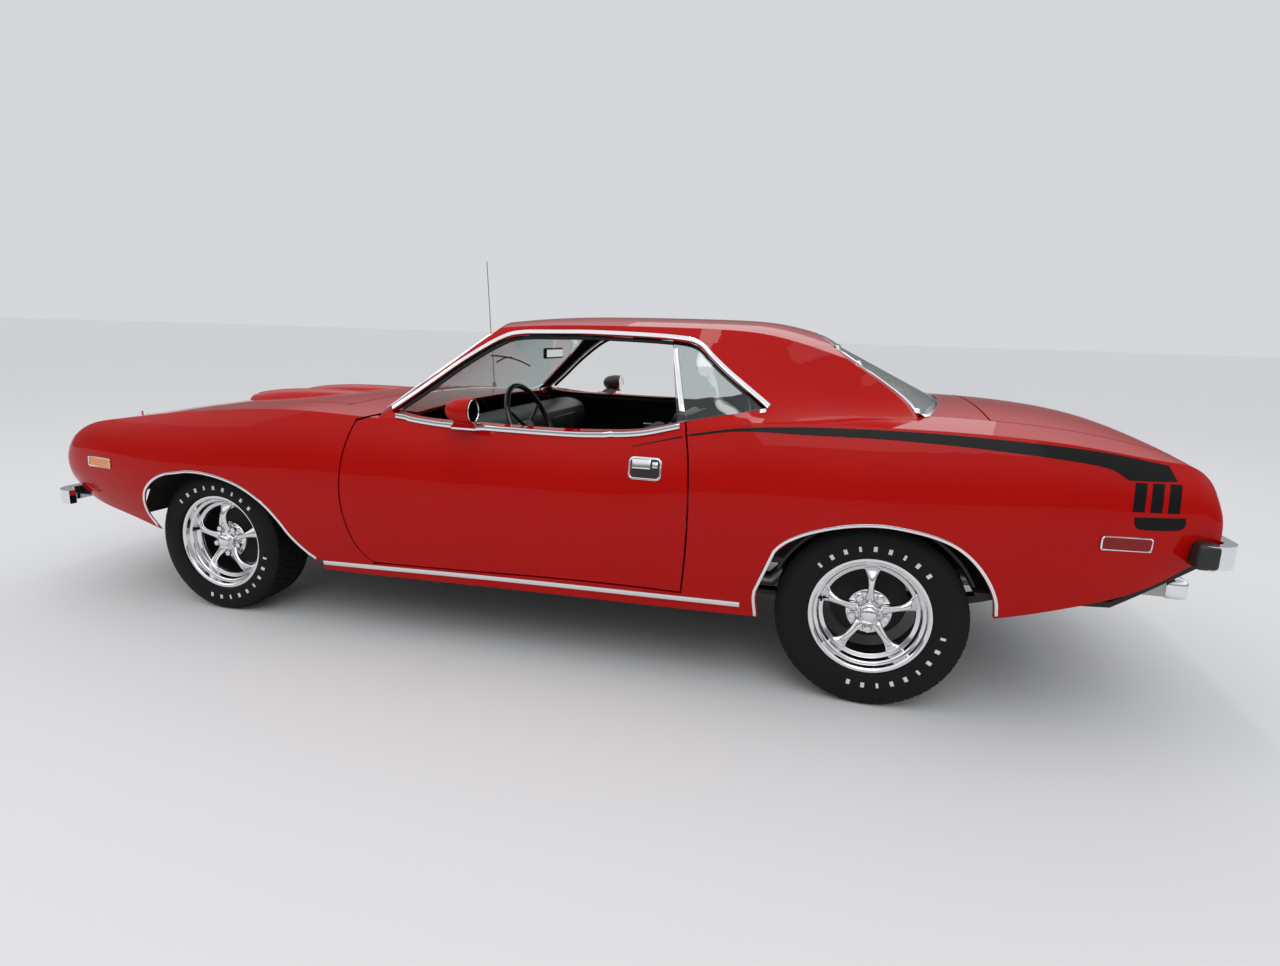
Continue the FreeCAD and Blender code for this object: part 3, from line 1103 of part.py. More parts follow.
# Rear axle on its springs, with the propeller shaft
hub_z = "d.rear_tyre_radius"
stub_length = "(d.rear_track + d.rear_rim_width) / 2 - d.dish_depth - 642"
spring = prism(closed(
    [(rear(-560), FLOOR - 60), (rear(-300), FLOOR - 70), (rear(0), HUB - 58), (rear(300), FLOOR - 30),
     (rear(560), FLOOR + 60)],
    [(rear(560), FLOOR + 76), (rear(300), FLOOR + 0), (rear(0), HUB - 30), (rear(-300), FLOOR - 50),
     (rear(-560), FLOOR - 44)]), -520, -462)
under_floor = "d.floor_z - d.floor_thickness - d.seat_gap"
half_axle = fused(
    "half_axle",
    cylinder("axle_tube", REAR_X, -660, hub_z, "d.axle_tube_radius", 660, "y"),
    cylinder("brake_drum", REAR_X, -680, hub_z, 140, 40, "y"),
    cylinder("stub", REAR_X, f"-640 - ({stub_length})", hub_z, "d.spindle_radius", stub_length, "y"),
    piece("leaf_spring", spring),
    box("spring_hanger", REAR_X + " - 590", -520, "d.floor_z - 62", 40, 58,
        f"{under_floor} - d.floor_z + 62"),
    box("shackle", REAR_X + " + 540", -516, "d.floor_z + 58", 30, 50, "64 - d.seat_gap"),
    box("spring_clamp", REAR_X + " - 50", -526, hub_z + " - 66", 100, 70, 46))
differential = doc.addObject("Part::Sphere", "differential")
bind(differential, Radius="d.differential_radius")
place(differential, REAR_X, 0, hub_z)
shaft = cylinder("prop_shaft", FRONT_X + " + 986", 0, "d.floor_z + 16", "d.prop_shaft_radius",
                 "d.wheelbase - 1086", "x")
rear_axle = fused("axle_and_springs", half_axle, mirror_of("other_half_axle", half_axle), differential, shaft)

# Exhaust with its silencers and tips, and the fuel tank
def pipe(points, radius):
    """Straight runs of pipe with a ball at each bend."""
    runs = [V(*p) for p in points]
    solid = Part.makeSphere(radius, runs[0])
    for a, b in zip(runs, runs[1:]):
        solid = solid.fuse(Part.makeCylinder(radius, (b - a).Length, a, b - a)).fuse(Part.makeSphere(radius,
                                                                                                     b))
    return solid


PIPE_R = size("exhaust_radius")
route = [(front(340), -230, FLOOR - 70), (rear(-380), -330, FLOOR - 64), (rear(-200), -330, FLOOR + 116),
         (rear(150), -330, FLOOR + 116), (rear(330), -395, FLOOR + 50), (rear(660), -410, FLOOR + 40),
         (rear(900), -595, FLOOR + 150)]
exhaust_left = pipe(route, PIPE_R)
silencer = Part.makeCylinder(62, 460, V(rear(-1120), -300, FLOOR - 90), V(1, 0, 0))
tip = slab(rear(890), rear(1010), -650, -540, FLOOR + 128, FLOOR + 184)
strap = slab(front(980), front(1010), -276, -250, FLOOR - 74, FLOOR - FLOOR_T - SEAT)
rear_strap = slab(rear(480), rear(510), -416, -390, FLOOR + 46, FLOOR + 122 - SEAT)
exhaust_left = exhaust_left.multiFuse([silencer, tip, strap, rear_strap])
exhaust = both(exhaust_left)
tank = box("tank", REAR_X + " + 430", -290, "d.floor_z - 20", 450, 580, "142 - d.seat_gap")
doc.recompute()
fuel_tank = doc.addObject("Part::Fillet", "round_cornered_tank")
fuel_tank.Base = tank
fuel_tank.Edges = [(i, 40, 40) for i, edge in enumerate(tank.Shape.Edges,
                                                        start=1) if edge.BoundBox.ZLength > 100]

# Antenna on the right fender, its foot trimmed to the fender's top
MAST_X, MAST_Y, MAST_TILT = 514, 800, -3.2
mast_z = crest_z(front(MAST_X)) + 10
mast = cylinder("mast", f"{FRONT_X} + {MAST_X}", MAST_Y, mast_z, "d.antenna_radius", "d.antenna_height")
mast.Placement.Rotation = FreeCAD.Rotation(V(0, 1, 0), MAST_TILT)
foot = cone("mast_foot", f"{FRONT_X} + {MAST_X}", MAST_Y, mast_z - 4, 14, 8, 26)
fender_top = piece("fender_top", body_solid(-SEAT, -SEAT, 0))
antenna = less("antenna_on_fender", fused("antenna_pieces", mast, foot), fender_top)

# Body panels
node("roof_panel", roof)
node("hood", hood)
node("decklid", decklid)
node("nose_panel", nose.fuse(valance))
node("cowl_panel", cowl)
node("rear_deck", rear_deck)
node("tail_panel", tail)
node("windscreen", windscreen)
node("rear_window", rear_window)
for hand, turned in (("left", lambda shape: shape), ("right", mirrored)):
    node("door_" + hand, turned(door))
    node("side_panel_" + hand, turned(side_panel))
    node("fender_" + hand, turned(fender))
node("quarter_glass", both(quarter_glass))

# Grille, lamps and bumpers
node("grille", grille)
node("headlamps", both(headlamp))
node("front_markers", both(front_marker))
node("rear_lamps", Part.makeCompound([tail_lamp, mirrored(tail_lamp), rear_marker, mirrored(rear_marker)]))
node("front_bumper", front_bumper)
node("rear_bumper", rear_bumper)

# Inner body
node("inner_body", inner_body)
node("floor_pan", floor_pan)
node("trunk_floor", trunk_floor)

# Interior
node("front_seats", both(front_seat))
node("rear_seat", rear_seat)
node("dashboard", dashboard)
node("steering_wheel", steering_wheel)

# Chassis
node("engine_block", engine)
node("front_subframe", front_subframe)
node("rear_axle", rear_axle)
node("exhaust", exhaust)
node("fuel_tank", fuel_tank)
node("antenna", antenna)
for name, thing in [("knuckle_", knuckle)] + wheels:
    node(name + "left", thing)
    node(name + "right", mirror_of(name + "mirrored", thing))

# Check and export
doc.recompute()
for thing in doc.Objects:
    if {"Invalid", "Error"} & set(thing.State):
        raise RuntimeError(thing.Label + " failed to build")
os.makedirs("parts", exist_ok=True)
for thing in nodes:
    if thing.Shape.isNull() or not thing.Shape.isValid():
        raise RuntimeError(thing.Label + " has no valid shape")
    thing.Shape.exportStep("parts/" + thing.Label + ".step")
print(len(nodes), "sub-parts written")
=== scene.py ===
# %% [markdown]
# # A two-door muscle car, finished in Blender
# The CAD model gives every panel, wheel and joint at its real size. This script dresses it: paint, chrome,
# rubber and glass first, then the trim, wheels, tyres, lamps and seats that make it look like the real car.

# %% Load the frame
import json
import math

import bpy
from mathutils import Matrix, Vector

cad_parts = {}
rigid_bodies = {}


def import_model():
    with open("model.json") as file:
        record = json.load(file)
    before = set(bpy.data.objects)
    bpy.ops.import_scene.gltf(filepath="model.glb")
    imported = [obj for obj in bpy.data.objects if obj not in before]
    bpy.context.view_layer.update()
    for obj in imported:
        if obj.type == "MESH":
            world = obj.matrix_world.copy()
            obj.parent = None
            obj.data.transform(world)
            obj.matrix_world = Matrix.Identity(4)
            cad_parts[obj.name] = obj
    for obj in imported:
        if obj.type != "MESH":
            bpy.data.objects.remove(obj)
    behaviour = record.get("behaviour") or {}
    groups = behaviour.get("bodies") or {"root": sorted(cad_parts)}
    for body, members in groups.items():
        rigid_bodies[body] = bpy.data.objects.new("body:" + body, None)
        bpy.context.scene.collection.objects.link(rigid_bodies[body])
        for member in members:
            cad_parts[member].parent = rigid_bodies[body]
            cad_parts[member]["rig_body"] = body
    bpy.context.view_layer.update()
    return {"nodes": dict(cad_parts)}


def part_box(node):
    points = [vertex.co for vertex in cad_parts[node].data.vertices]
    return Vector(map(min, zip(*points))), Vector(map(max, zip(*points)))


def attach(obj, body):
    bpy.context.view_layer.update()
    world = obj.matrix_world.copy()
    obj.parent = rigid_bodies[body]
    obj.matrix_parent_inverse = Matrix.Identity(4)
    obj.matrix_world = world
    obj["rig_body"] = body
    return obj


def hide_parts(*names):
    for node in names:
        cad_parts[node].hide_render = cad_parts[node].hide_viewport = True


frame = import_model()
nodes = frame["nodes"]

# %% [markdown]
# ## Camera
# The camera was solved from the checkerboard floor of the photograph: its place, its three axes and its
# focal length in pixels. Blender wants a lens in millimetres on a 36 mm sensor, so the pixels are
# converted.

# %% Camera at the photograph's angle
PHOTO_WIDTH, FOCAL_PIXELS, SENSOR = 1280, 746.0, 36.0
CAMERA_PLACE = Vector((1.1616, -3.4384, 1.2645))
CAMERA_RIGHT = Vector((0.9644, 0.2626, 0.0304))
CAMERA_UP = Vector((-0.0803, 0.1813, 0.9801))
CAMERA_BACK = Vector((0.2519, -0.9477, 0.1960))
camera_data = bpy.data.cameras.new("camera")
camera_data.sensor_width = SENSOR
camera_data.lens = FOCAL_PIXELS * SENSOR / PHOTO_WIDTH
camera = bpy.data.objects.new("camera", camera_data)
bpy.context.scene.collection.objects.link(camera)
turn = Matrix((CAMERA_RIGHT, CAMERA_UP, CAMERA_BACK)).transposed()
camera.matrix_world = Matrix.Translation(CAMERA_PLACE) @ turn.to_4x4()
bpy.context.scene.camera = camera
print("lens", round(camera_data.lens, 2), "mm")

# %% [markdown]
# ## Working by hand, in code
# Every piece below is made as in Blender's window: add a primitive, go into edit mode, extrude, spin or
# bridge, then apply the modifiers. These helpers keep the selection clean and end each piece in the same
# way.


# %% Helpers for selecting and finishing
def begin():
    """Object mode, with nothing selected."""
    if bpy.context.object and bpy.context.object.mode != "OBJECT":
        bpy.ops.object.mode_set(mode="OBJECT")
    bpy.ops.object.select_all(action="DESELECT")


def only(piece):
    """Selects one piece and makes it the active one."""
    begin()
    piece.select_set(True)
    bpy.context.view_layer.objects.active = piece


def modifier(kind, **settings):
    """Adds a modifier to the active piece with these settings and applies it."""
    piece = bpy.context.object
    added = piece.modifiers.new(kind.lower(), kind)
    for key, value in settings.items():
        setattr(added, key, value)
    bpy.ops.object.modifier_apply(modifier=added.name)


def finish_piece(name, material, body, angle=35):
    """Ends the active piece: place put into the mesh, smooth shading, one material, riding on a body."""
    piece = bpy.context.object
    if piece.mode != "OBJECT":
        bpy.ops.object.mode_set(mode="OBJECT")
    bpy.ops.object.transform_apply(location=True, rotation=True, scale=True)
    piece.name = name
    piece.data.name = name
    piece.data.materials.clear()
    piece.data.materials.append(material)
    bpy.ops.object.shade_smooth_by_angle(angle=math.radians(angle))
    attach(piece, body)
    return piece


def join(pieces):
    """Joins pieces into the first one, which stays active."""
    begin()
    for piece in pieces:
        piece.select_set(True)
    bpy.context.view_layer.objects.active = pieces[0]
    bpy.ops.object.join()


def to_other_side(*pieces):
    """The same pieces on the right side of the car, each with its own mesh. Returns the last of them."""
    for piece in pieces:
        twin = piece.copy()
        twin.data = piece.data.copy()
        twin.name = piece.name.replace("left", "right")
        twin.data.name = twin.name
        bpy.context.scene.collection.objects.link(twin)
        twin.data.transform(Matrix.Diagonal((1, -1, 1, 1)))
        twin.data.flip_normals()
        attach(twin, piece["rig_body"].replace("left", "right"))
    return twin


# %% [markdown]
# ## Lines, sweeps and turned shapes
# Most of a car's trim starts as a line. Spun about an axle it becomes a wheel or a ring, swept it becomes a
# rod, and bridged to a second line it becomes a flat moulding. The line could be a Bezier curve, shaped by
# its handles. Here it is a row of vertices, extruded one by one, because every point of it is then known
# and can be laid on a panel.


# %% Lines of vertices
def smooth_line(knots, count):
    """Points on a smooth curve through a few knots, evenly spread over the knots."""
    knots = [Vector(k) for k in knots]
    ends = [2 * knots[0] - knots[1], *knots, 2 * knots[-1] - knots[-2]]
    points = []
    for i in range(count):
        t = i / (count - 1) * (len(knots) - 1)
        j = min(int(t), len(knots) - 2)
        u = t - j
        a, b, c, d = ends[j : j + 4]
        bend, twist = 2 * a - 5 * b + 4 * c - d, 3 * b - a - 3 * c + d
        points.append(0.5 * (2 * b + (c - a) * u + bend * u**2 + twist * u**3))
    return points


def draw(points, closed=False):
    """Draws a line by extruding a vertex point by point. Leaves edit mode on and the line selected."""
    points = [Vector(p) for p in points]
    if not bpy.context.object or bpy.context.object.mode != "EDIT":
        begin()
        bpy.ops.mesh.primitive_plane_add(size=0.002, location=(0, 0, 0))
        bpy.ops.object.mode_set(mode="EDIT")
        bpy.ops.mesh.select_mode(type="VERT")
    else:
        bpy.ops.mesh.select_all(action="DESELECT")
        bpy.ops.mesh.primitive_plane_add(size=0.002, location=(0, 0, 0))
    bpy.ops.mesh.merge(type="CENTER")
    bpy.ops.transform.translate(value=points[0])
    path = points + points[:1] if closed else points
    for here, there in zip(path, path[1:]):
        bpy.ops.mesh.extrude_region_move(TRANSFORM_OT_translate={"value": there - here})
    bpy.ops.mesh.select_linked()
    if closed:
        bpy.ops.mesh.remove_doubles(threshold=0.00001)


# %% [markdown]
# A wheel, a ring or a knob is a closed profile that is spun about an axis. The Screw modifier could do that
# too, but Spin leaves a plain mesh, and merging its doubles closes the seam. A rod is a line that is turned
# into a curve, gets a round section from the curve's bevel, and becomes a mesh again. A block is a cube
# between two corners. Its bevel gives the small rounding that every pressed or moulded edge has.


# %% Turned pieces, rods and blocks
def turned(profile, centre, steps=64, axis="Y"):
    """Spins a closed profile of (along, radius) pairs about an axis along x or y through the centre."""
    centre = Vector(centre)
    way = Vector((1, 0, 0)) if axis == "X" else Vector((0, 1, 0))
    draw([centre + way * along + Vector((0, 0, radius)) for along, radius in profile], closed=True)
    bpy.ops.mesh.spin(steps=steps, angle=2 * math.pi, center=centre, axis=way)
    bpy.ops.mesh.select_all(action="SELECT")
    bpy.ops.mesh.remove_doubles(threshold=0.00002)
    bpy.ops.mesh.normals_make_consistent(inside=False)
    bpy.ops.object.mode_set(mode="OBJECT")
    return bpy.context.object


def rod(points, radius, sides=3, closed=False):
    """A round bar along a line of points."""
    draw(points, closed)
    bpy.ops.object.mode_set(mode="OBJECT")
    bpy.ops.object.convert(target="CURVE")
    curve = bpy.context.object.data
    curve.bevel_depth = radius
    curve.bevel_resolution = sides
    curve.use_fill_caps = True
    bpy.ops.object.convert(target="MESH")
    return bpy.context.object


def block(low, high, round_by=0.0, segments=3):
    """A box between two corners with rounded edges."""
    low, high = Vector(low), Vector(high)
    begin()
    bpy.ops.mesh.primitive_cube_add(size=1, location=(low + high) / 2)
    bpy.ops.transform.resize(value=high - low, center_override=(low + high) / 2)
    bpy.ops.object.transform_apply(location=True, rotation=True, scale=True)
    if round_by:
        modifier("BEVEL", width=round_by, segments=segments, limit_method="ANGLE")
    return bpy.context.object


# %% [markdown]
# Trim lies on its panel without a gap, and a car's panels curve both ways. So the trim is outlined in side
# view, and each point of the outline is sent sideways as a ray until it meets the panel. The strip then
# follows every curve of the body, which no typed depth could do. The points come from the photograph, in
# millimetres behind the front axle and above the ground.


# %% Rays at a panel
def beside(points, y=-1.3):
    """Pairs (distance behind the front axle, height) in millimetres, as points on a plane beside the car."""
    return [Vector(((along - 1430) / 1000, y, height / 1000)) for along, height in points]


def touch(point, names, lift=0.0, way=(0, 1, 0)):
    """Where a ray from the point first meets one of the CAD nodes, lifted off it. None where it misses."""
    casts = [nodes[name].ray_cast(point, way) for name in names]
    hits = [(place, normal) for hit, place, normal, _ in casts if hit]
    if not hits:
        return None
    place, normal = min(hits, key=lambda hit: (hit[0] - point).length)
    return place - normal * lift if normal.dot(Vector(way)) > 0 else place + normal * lift


def shifted(line, distance):
    """The line moved sideways in side view."""
    moved = []
    for i, point in enumerate(line):
        way = line[min(i + 1, len(line) - 1)] - line[max(i - 1, 0)]
        way.y = 0
        way.normalize()
        moved.append(point + Vector((-way.z, 0, way.x)) * distance)
    return moved


# %% [markdown]
# A moulding is a folded strip of thin metal. Two lines are laid on the panel side by side, bridged with
# faces, given a thickness and softened at the edges, where the real strip catches the light. A curve with a
# flat section would be quicker, but it twists where the panel turns.


# %% Strips between lines
def bridge(*lines, cuts=0, closed=False):
    """A strip of faces between lines with as many points each."""
    for line in lines:
        draw(line, closed)
    bpy.ops.mesh.select_all(action="SELECT")
    bpy.ops.mesh.bridge_edge_loops(number_cuts=cuts, interpolation="LINEAR")
    bpy.ops.object.mode_set(mode="OBJECT")


def thicken(thickness, outward=(0, -1, 0), soft=0.3):
    """Turns a strip to face outward, gives it a thickness about its middle and softens its edges."""
    strip = bpy.context.object
    total = sum((face.normal * face.area for face in strip.data.polygons), Vector())
    if total.dot(Vector(outward)) < 0:
        strip.data.flip_normals()
    modifier("SOLIDIFY", thickness=thickness, offset=0.0, use_even_offset=True)
    if soft:
        modifier("BEVEL", width=thickness * soft, segments=2, limit_method="ANGLE")


def moulding(name, knots, width, names, material, body, thickness=0.005, count=50, lift=0.001, move=0.0):
    """A bright strip of that width along knots in side view, lying on the CAD panels of those names."""
    middle = shifted(smooth_line(beside(knots), count), move)
    edges = [[touch(p, names, lift) for p in shifted(middle, half)] for half in (width / 2, -width / 2)]
    bridge(*zip(*[pair for pair in zip(*edges) if None not in pair]))
    thicken(thickness)
    return finish_piece(name, material, body)


# %% [markdown]
# ## Materials
# Each finish is one small function: a Principled shader, with noise, waves or cells on object coordinates
# for what the real surface does. A picture wrapped round the piece could show the same, but it would need a
# layout for every piece, while object coordinates fit any shape.


# %% Material helpers
def new_material(name, colour, roughness, metallic=0.0, **sockets):
    """A Principled material. Further sockets are given by name, with underscores for spaces."""
    made = bpy.data.materials.new(name)
    made.use_nodes = True
    shader = made.node_tree.nodes["Principled BSDF"]
    shader.inputs["Base Color"].default_value = (*colour, 1)
    shader.inputs["Roughness"].default_value = roughness
    shader.inputs["Metallic"].default_value = metallic
    for key, value in sockets.items():
        shader.inputs[key.replace("_", " ")].default_value = value
    return made


def pattern(material, kind, scale, stretch=(1, 1, 1), **settings):
    """A texture node on stretched object coordinates. Returns its output that carries the pattern."""
    tree = material.node_tree
    coordinates = tree.nodes.new("ShaderNodeTexCoord")
    mapping = tree.nodes.new("ShaderNodeMapping")
    mapping.inputs["Scale"].default_value = stretch
    texture = tree.nodes.new(kind)
    texture.inputs["Scale"].default_value = scale
    for key, value in settings.items():
        if key in texture.inputs:
            texture.inputs[key].default_value = value
        else:
            setattr(texture, key, value)
    tree.links.new(coordinates.outputs["Object"], mapping.inputs["Vector"])
    tree.links.new(mapping.outputs["Vector"], texture.inputs["Vector"])
    return texture.outputs["Distance"] if kind == "ShaderNodeTexVoronoi" else texture.outputs["Fac"]


# %% [markdown]
# A pattern can do two things: raise the surface, or change a value over it. Relief that is under a
# millimetre is left to a bump, because only its shading shows. No surface has the same roughness all over,
# so most finishes let noise move it between two close values.


# %% Relief and variation
def bump(material, source, distance, strength=0.3, socket="Normal"):
    """Turns a pattern into relief of that height in metres."""
    tree = material.node_tree
    node = tree.nodes.new("ShaderNodeBump")
    node.inputs["Strength"].default_value = strength
    node.inputs["Distance"].default_value = distance
    tree.links.new(source, node.inputs["Height"])
    tree.links.new(node.outputs["Normal"], tree.nodes["Principled BSDF"].inputs[socket])


def vary(material, source, socket, low, high):
    """Lets a pattern move a socket between two values: numbers, or colours."""
    tree = material.node_tree
    target = tree.nodes["Principled BSDF"].inputs[socket]
    if isinstance(low, tuple):
        mix = tree.nodes.new("ShaderNodeMix")
        mix.data_type = "RGBA"
        mix.inputs[6].default_value = (*low, 1)
        mix.inputs[7].default_value = (*high, 1)
        tree.links.new(source, mix.inputs[0])
        tree.links.new(mix.outputs[2], target)
        return
    ranged = tree.nodes.new("ShaderNodeMapRange")
    ranged.inputs["To Min"].default_value = low
    ranged.inputs["To Max"].default_value = high
    tree.links.new(source, ranged.inputs["Value"])
    tree.links.new(ranged.outputs["Result"], target)


NOISE, WAVES, CELLS = "ShaderNodeTexNoise", "ShaderNodeTexWave", "ShaderNodeTexVoronoi"


# %% [markdown]
# Car paint is a coloured layer under a clear one. The coat gives the sharp reflection and its own relief is
# the slight ripple that sprayed paint has, while the layer below stays matt and barely changes its red.
# Chrome is a smooth metal with faint smears, and cast iron has coarse grains and a patchy colour.


# %% Paint, chrome and metals
def make_red_paint():
    paint = new_material("red_paint", (0.42, 0.004, 0.002), 0.35, Coat_Weight=0.88, Coat_Roughness=0.02,
                         Coat_IOR=1.26, Specular_IOR_Level=0.0)
    low, high = (0.40, 0.0035, 0.002), (0.45, 0.005, 0.003)
    vary(paint, pattern(paint, NOISE, 3.0, Detail=2.0), "Base Color", low, high)
    bump(paint, pattern(paint, NOISE, 260.0, Detail=1.0), 0.00004, 0.12, "Coat Normal")
    return paint


def make_chrome(name, colour, low, high):
    chrome = new_material(name, colour, low, 1.0)
    vary(chrome, pattern(chrome, NOISE, 35.0, Detail=4.0), "Roughness", low, high)
    return chrome


def make_cast_iron(name, low, high):
    iron = new_material(name, low, 0.65, 0.6)
    vary(iron, pattern(iron, NOISE, 9.0, Detail=6.0), "Base Color", low, high)
    bump(iron, pattern(iron, NOISE, 240.0, Detail=3.0), 0.0006, 0.5)
    return iron


red_paint = make_red_paint()
chrome = make_chrome("chrome", (0.83, 0.84, 0.86), 0.03, 0.09)
wheel_chrome = make_chrome("wheel_chrome", (0.80, 0.80, 0.81), 0.06, 0.16)
cast_iron = make_cast_iron("cast_iron", (0.05, 0.048, 0.045), (0.09, 0.08, 0.07))
engine_paint = make_cast_iron("engine_paint", (0.30, 0.06, 0.02), (0.36, 0.08, 0.03))
exhaust_steel = make_chrome("exhaust_steel", (0.42, 0.40, 0.37), 0.3, 0.5)
tank_steel = make_chrome("tank_steel", (0.30, 0.30, 0.31), 0.4, 0.6)


# %% [markdown]
# A car has many blacks, and they differ in how they shine: a tyre is nearly matt, the steering wheel is
# glossy, and the stripe is a satin paint. One function makes them all, and the white of the tyres' bars,
# with a grain that is finer or coarser. Lamps have moulded ribs behind a smooth face, so the ribs are a
# relief under a clear coat.


# %% Rubber, plastics, glass and lenses
def make_black(name, level, roughness, grain, height, coat=0.0, shine=0.5):
    """A black, grey or white with a fine grain. Shine is its reflection under the coat."""
    black = new_material(name, (level, level, level), roughness, Coat_Weight=coat, Coat_Roughness=0.08,
                         Specular_IOR_Level=shine)
    vary(black, pattern(black, NOISE, 14.0, Detail=5.0), "Roughness", roughness - 0.07, roughness + 0.1)
    bump(black, pattern(black, NOISE, grain, Detail=2.0), height, 0.4)
    return black


def make_lens(name, colour, transmission, stretch, coat=1.0, shine=0.5):
    """A moulded lens with ribs."""
    lens = new_material(name, colour, 0.08, Transmission_Weight=transmission, IOR=1.49, Coat_Weight=coat,
                        Coat_Roughness=0.02, Specular_IOR_Level=shine)
    bump(lens, pattern(lens, WAVES, 30.0, stretch), 0.002, 0.5)
    return lens


tyre_rubber = make_black("tyre_rubber", 0.008, 0.66, 500.0, 0.0003, shine=0.18)
# The undercoat black also serves as painted shade in the wheels' inner barrels.
undercoat = make_black("undercoat", 0.012, 0.72, 180.0, 0.0008)
black_plastic = make_black("black_plastic", 0.014, 0.45, 700.0, 0.0002)
black_rim = make_black("black_rim", 0.012, 0.28, 500.0, 0.0001, 0.4)
stripe_black = make_black("stripe_black", 0.003, 0.5, 300.0, 0.00005, 0.15, shine=0.12)
weatherstrip = make_black("weatherstrip", 0.010, 0.68, 600.0, 0.0002)
raised_white = make_black("raised_white", 0.72, 0.55, 400.0, 0.0002)
window_glass = new_material("window_glass", (0.62, 0.68, 0.66), 0.0, Transmission_Weight=1.0, IOR=1.45)
vary(window_glass, pattern(window_glass, NOISE, 2.0), "Roughness", 0.0, 0.012)
mirror_glass = make_chrome("mirror_glass", (0.90, 0.91, 0.92), 0.01, 0.03)
amber_lens = make_lens("amber_lens", (0.80, 0.22, 0.01), 0.05, (1, 1, 3))
red_lens = make_lens("red_lens", (0.24, 0.003, 0.002), 0.05, (1, 3, 1), 0.35, 0.15)
lamp_glass = make_lens("lamp_glass", (0.96, 0.97, 0.98), 0.8, (1, 2, 0.2))


# %% [markdown]
# Seat vinyl is pressed with a fine pattern of cells, like leather, and shines where it is touched. Carpet
# is matt, with a deep pile that noise can stand for at this distance.


# %% Vinyl and carpet
def make_black_vinyl():
    vinyl = new_material("black_vinyl", (0.016, 0.016, 0.017), 0.42)
    vary(vinyl, pattern(vinyl, NOISE, 6.0, Detail=3.0), "Roughness", 0.36, 0.5)
    bump(vinyl, pattern(vinyl, CELLS, 420.0), 0.0006, 0.35)
    return vinyl


def make_carpet():
    carpet = new_material("carpet", (0.015, 0.015, 0.015), 0.95, Sheen_Weight=0.3)
    dark, light = (0.008, 0.008, 0.008), (0.03, 0.03, 0.03)
    vary(carpet, pattern(carpet, NOISE, 60.0, Detail=8.0), "Base Color", dark, light)
    bump(carpet, pattern(carpet, NOISE, 900.0, Detail=4.0), 0.003, 0.8)
    return carpet


black_vinyl = make_black_vinyl()
carpet = make_carpet()
print(len(bpy.data.materials), "materials")

# %% [markdown]
# ## Finishes on the CAD pieces
# Panels that are right as they are only need their finish, and one table of names gives it.

# %% Finish of each CAD node
HANDS = ("left", "right")
FINISHES = {
    "roof_panel": red_paint, "hood": red_paint, "decklid": red_paint, "nose_panel": red_paint,
    "cowl_panel": red_paint, "rear_deck": red_paint, "tail_panel": red_paint,
    "windscreen": window_glass, "rear_window": window_glass, "quarter_glass": window_glass,
    "grille": black_plastic, "headlamps": lamp_glass, "front_markers": amber_lens, "rear_lamps": red_lens,
    "front_bumper": chrome, "rear_bumper": chrome, "inner_body": undercoat, "floor_pan": undercoat,
    "trunk_floor": undercoat, "front_subframe": undercoat, "front_seats": black_vinyl,
    "rear_seat": black_vinyl, "dashboard": black_plastic, "steering_wheel": black_rim,
    "engine_block": engine_paint, "rear_axle": cast_iron, "exhaust": exhaust_steel, "fuel_tank": tank_steel,
    "antenna": tank_steel,
}
for hand in HANDS:
    for panel in ("door_", "side_panel_", "fender_"):
        FINISHES[panel + hand] = red_paint
    FINISHES["knuckle_" + hand] = cast_iron
    for end in ("front_", "rear_"):
        FINISHES["tyre_" + end + hand] = tyre_rubber
        FINISHES["rim_" + end + hand] = wheel_chrome
for name, finish in FINISHES.items():
    nodes[name].data.materials.clear()
    nodes[name].data.materials.append(finish)
print("nodes without a finish:", sorted(set(nodes) - set(FINISHES)))

# %% [markdown]
# A door is red outside and trimmed inside, and a hood is black underneath. The two sides could be cut into
# two pieces, but a second material on the same mesh is simpler. Its faces are told apart by where they are
# and which way they look.


# %% Second finish on the inner sides
def second_finish(name, finish, chosen):
    """Gives a second finish to the faces of a CAD node for which chosen(centre, normal) is true."""
    mesh = nodes[name].data
    mesh.materials.append(finish)
    for face in mesh.polygons:
        if chosen(face.center, face.normal):
            face.material_index = 1


for hand, side in zip(HANDS, (-1, 1)):
    second_finish("door_" + hand, black_vinyl, lambda c, n, s=side: n.y * s < -0.4 and c.z > 0.35)
    second_finish("side_panel_" + hand, undercoat, lambda c, n, s=side: n.y * s < -0.2 or n.z < -0.5)
    second_finish("fender_" + hand, undercoat, lambda c, n, s=side: n.y * s < -0.2 or n.z < -0.5)
second_finish("roof_panel", black_vinyl, lambda c, n: n.z < -0.25 and c.z > 0.95)
second_finish("floor_pan", carpet, lambda c, n: n.z > 0.5)
for panel in ("hood", "decklid", "cowl_panel"):
    second_finish(panel, undercoat, lambda c, n: n.z < -0.3)
print("nodes with two finishes:", sum(len(node.data.materials) == 2 for node in nodes.values()))

# %% [markdown]
# ## Bright mouldings on the body
# The windows, wheel openings and sills are edged with thin bright strips. Each one is a narrow band of
# faces that is laid on the panel by rays, then given a thickness and rounded edges that catch the light.
# They could be cut out of the panels' own faces, but those are long triangles that don't follow a curve.

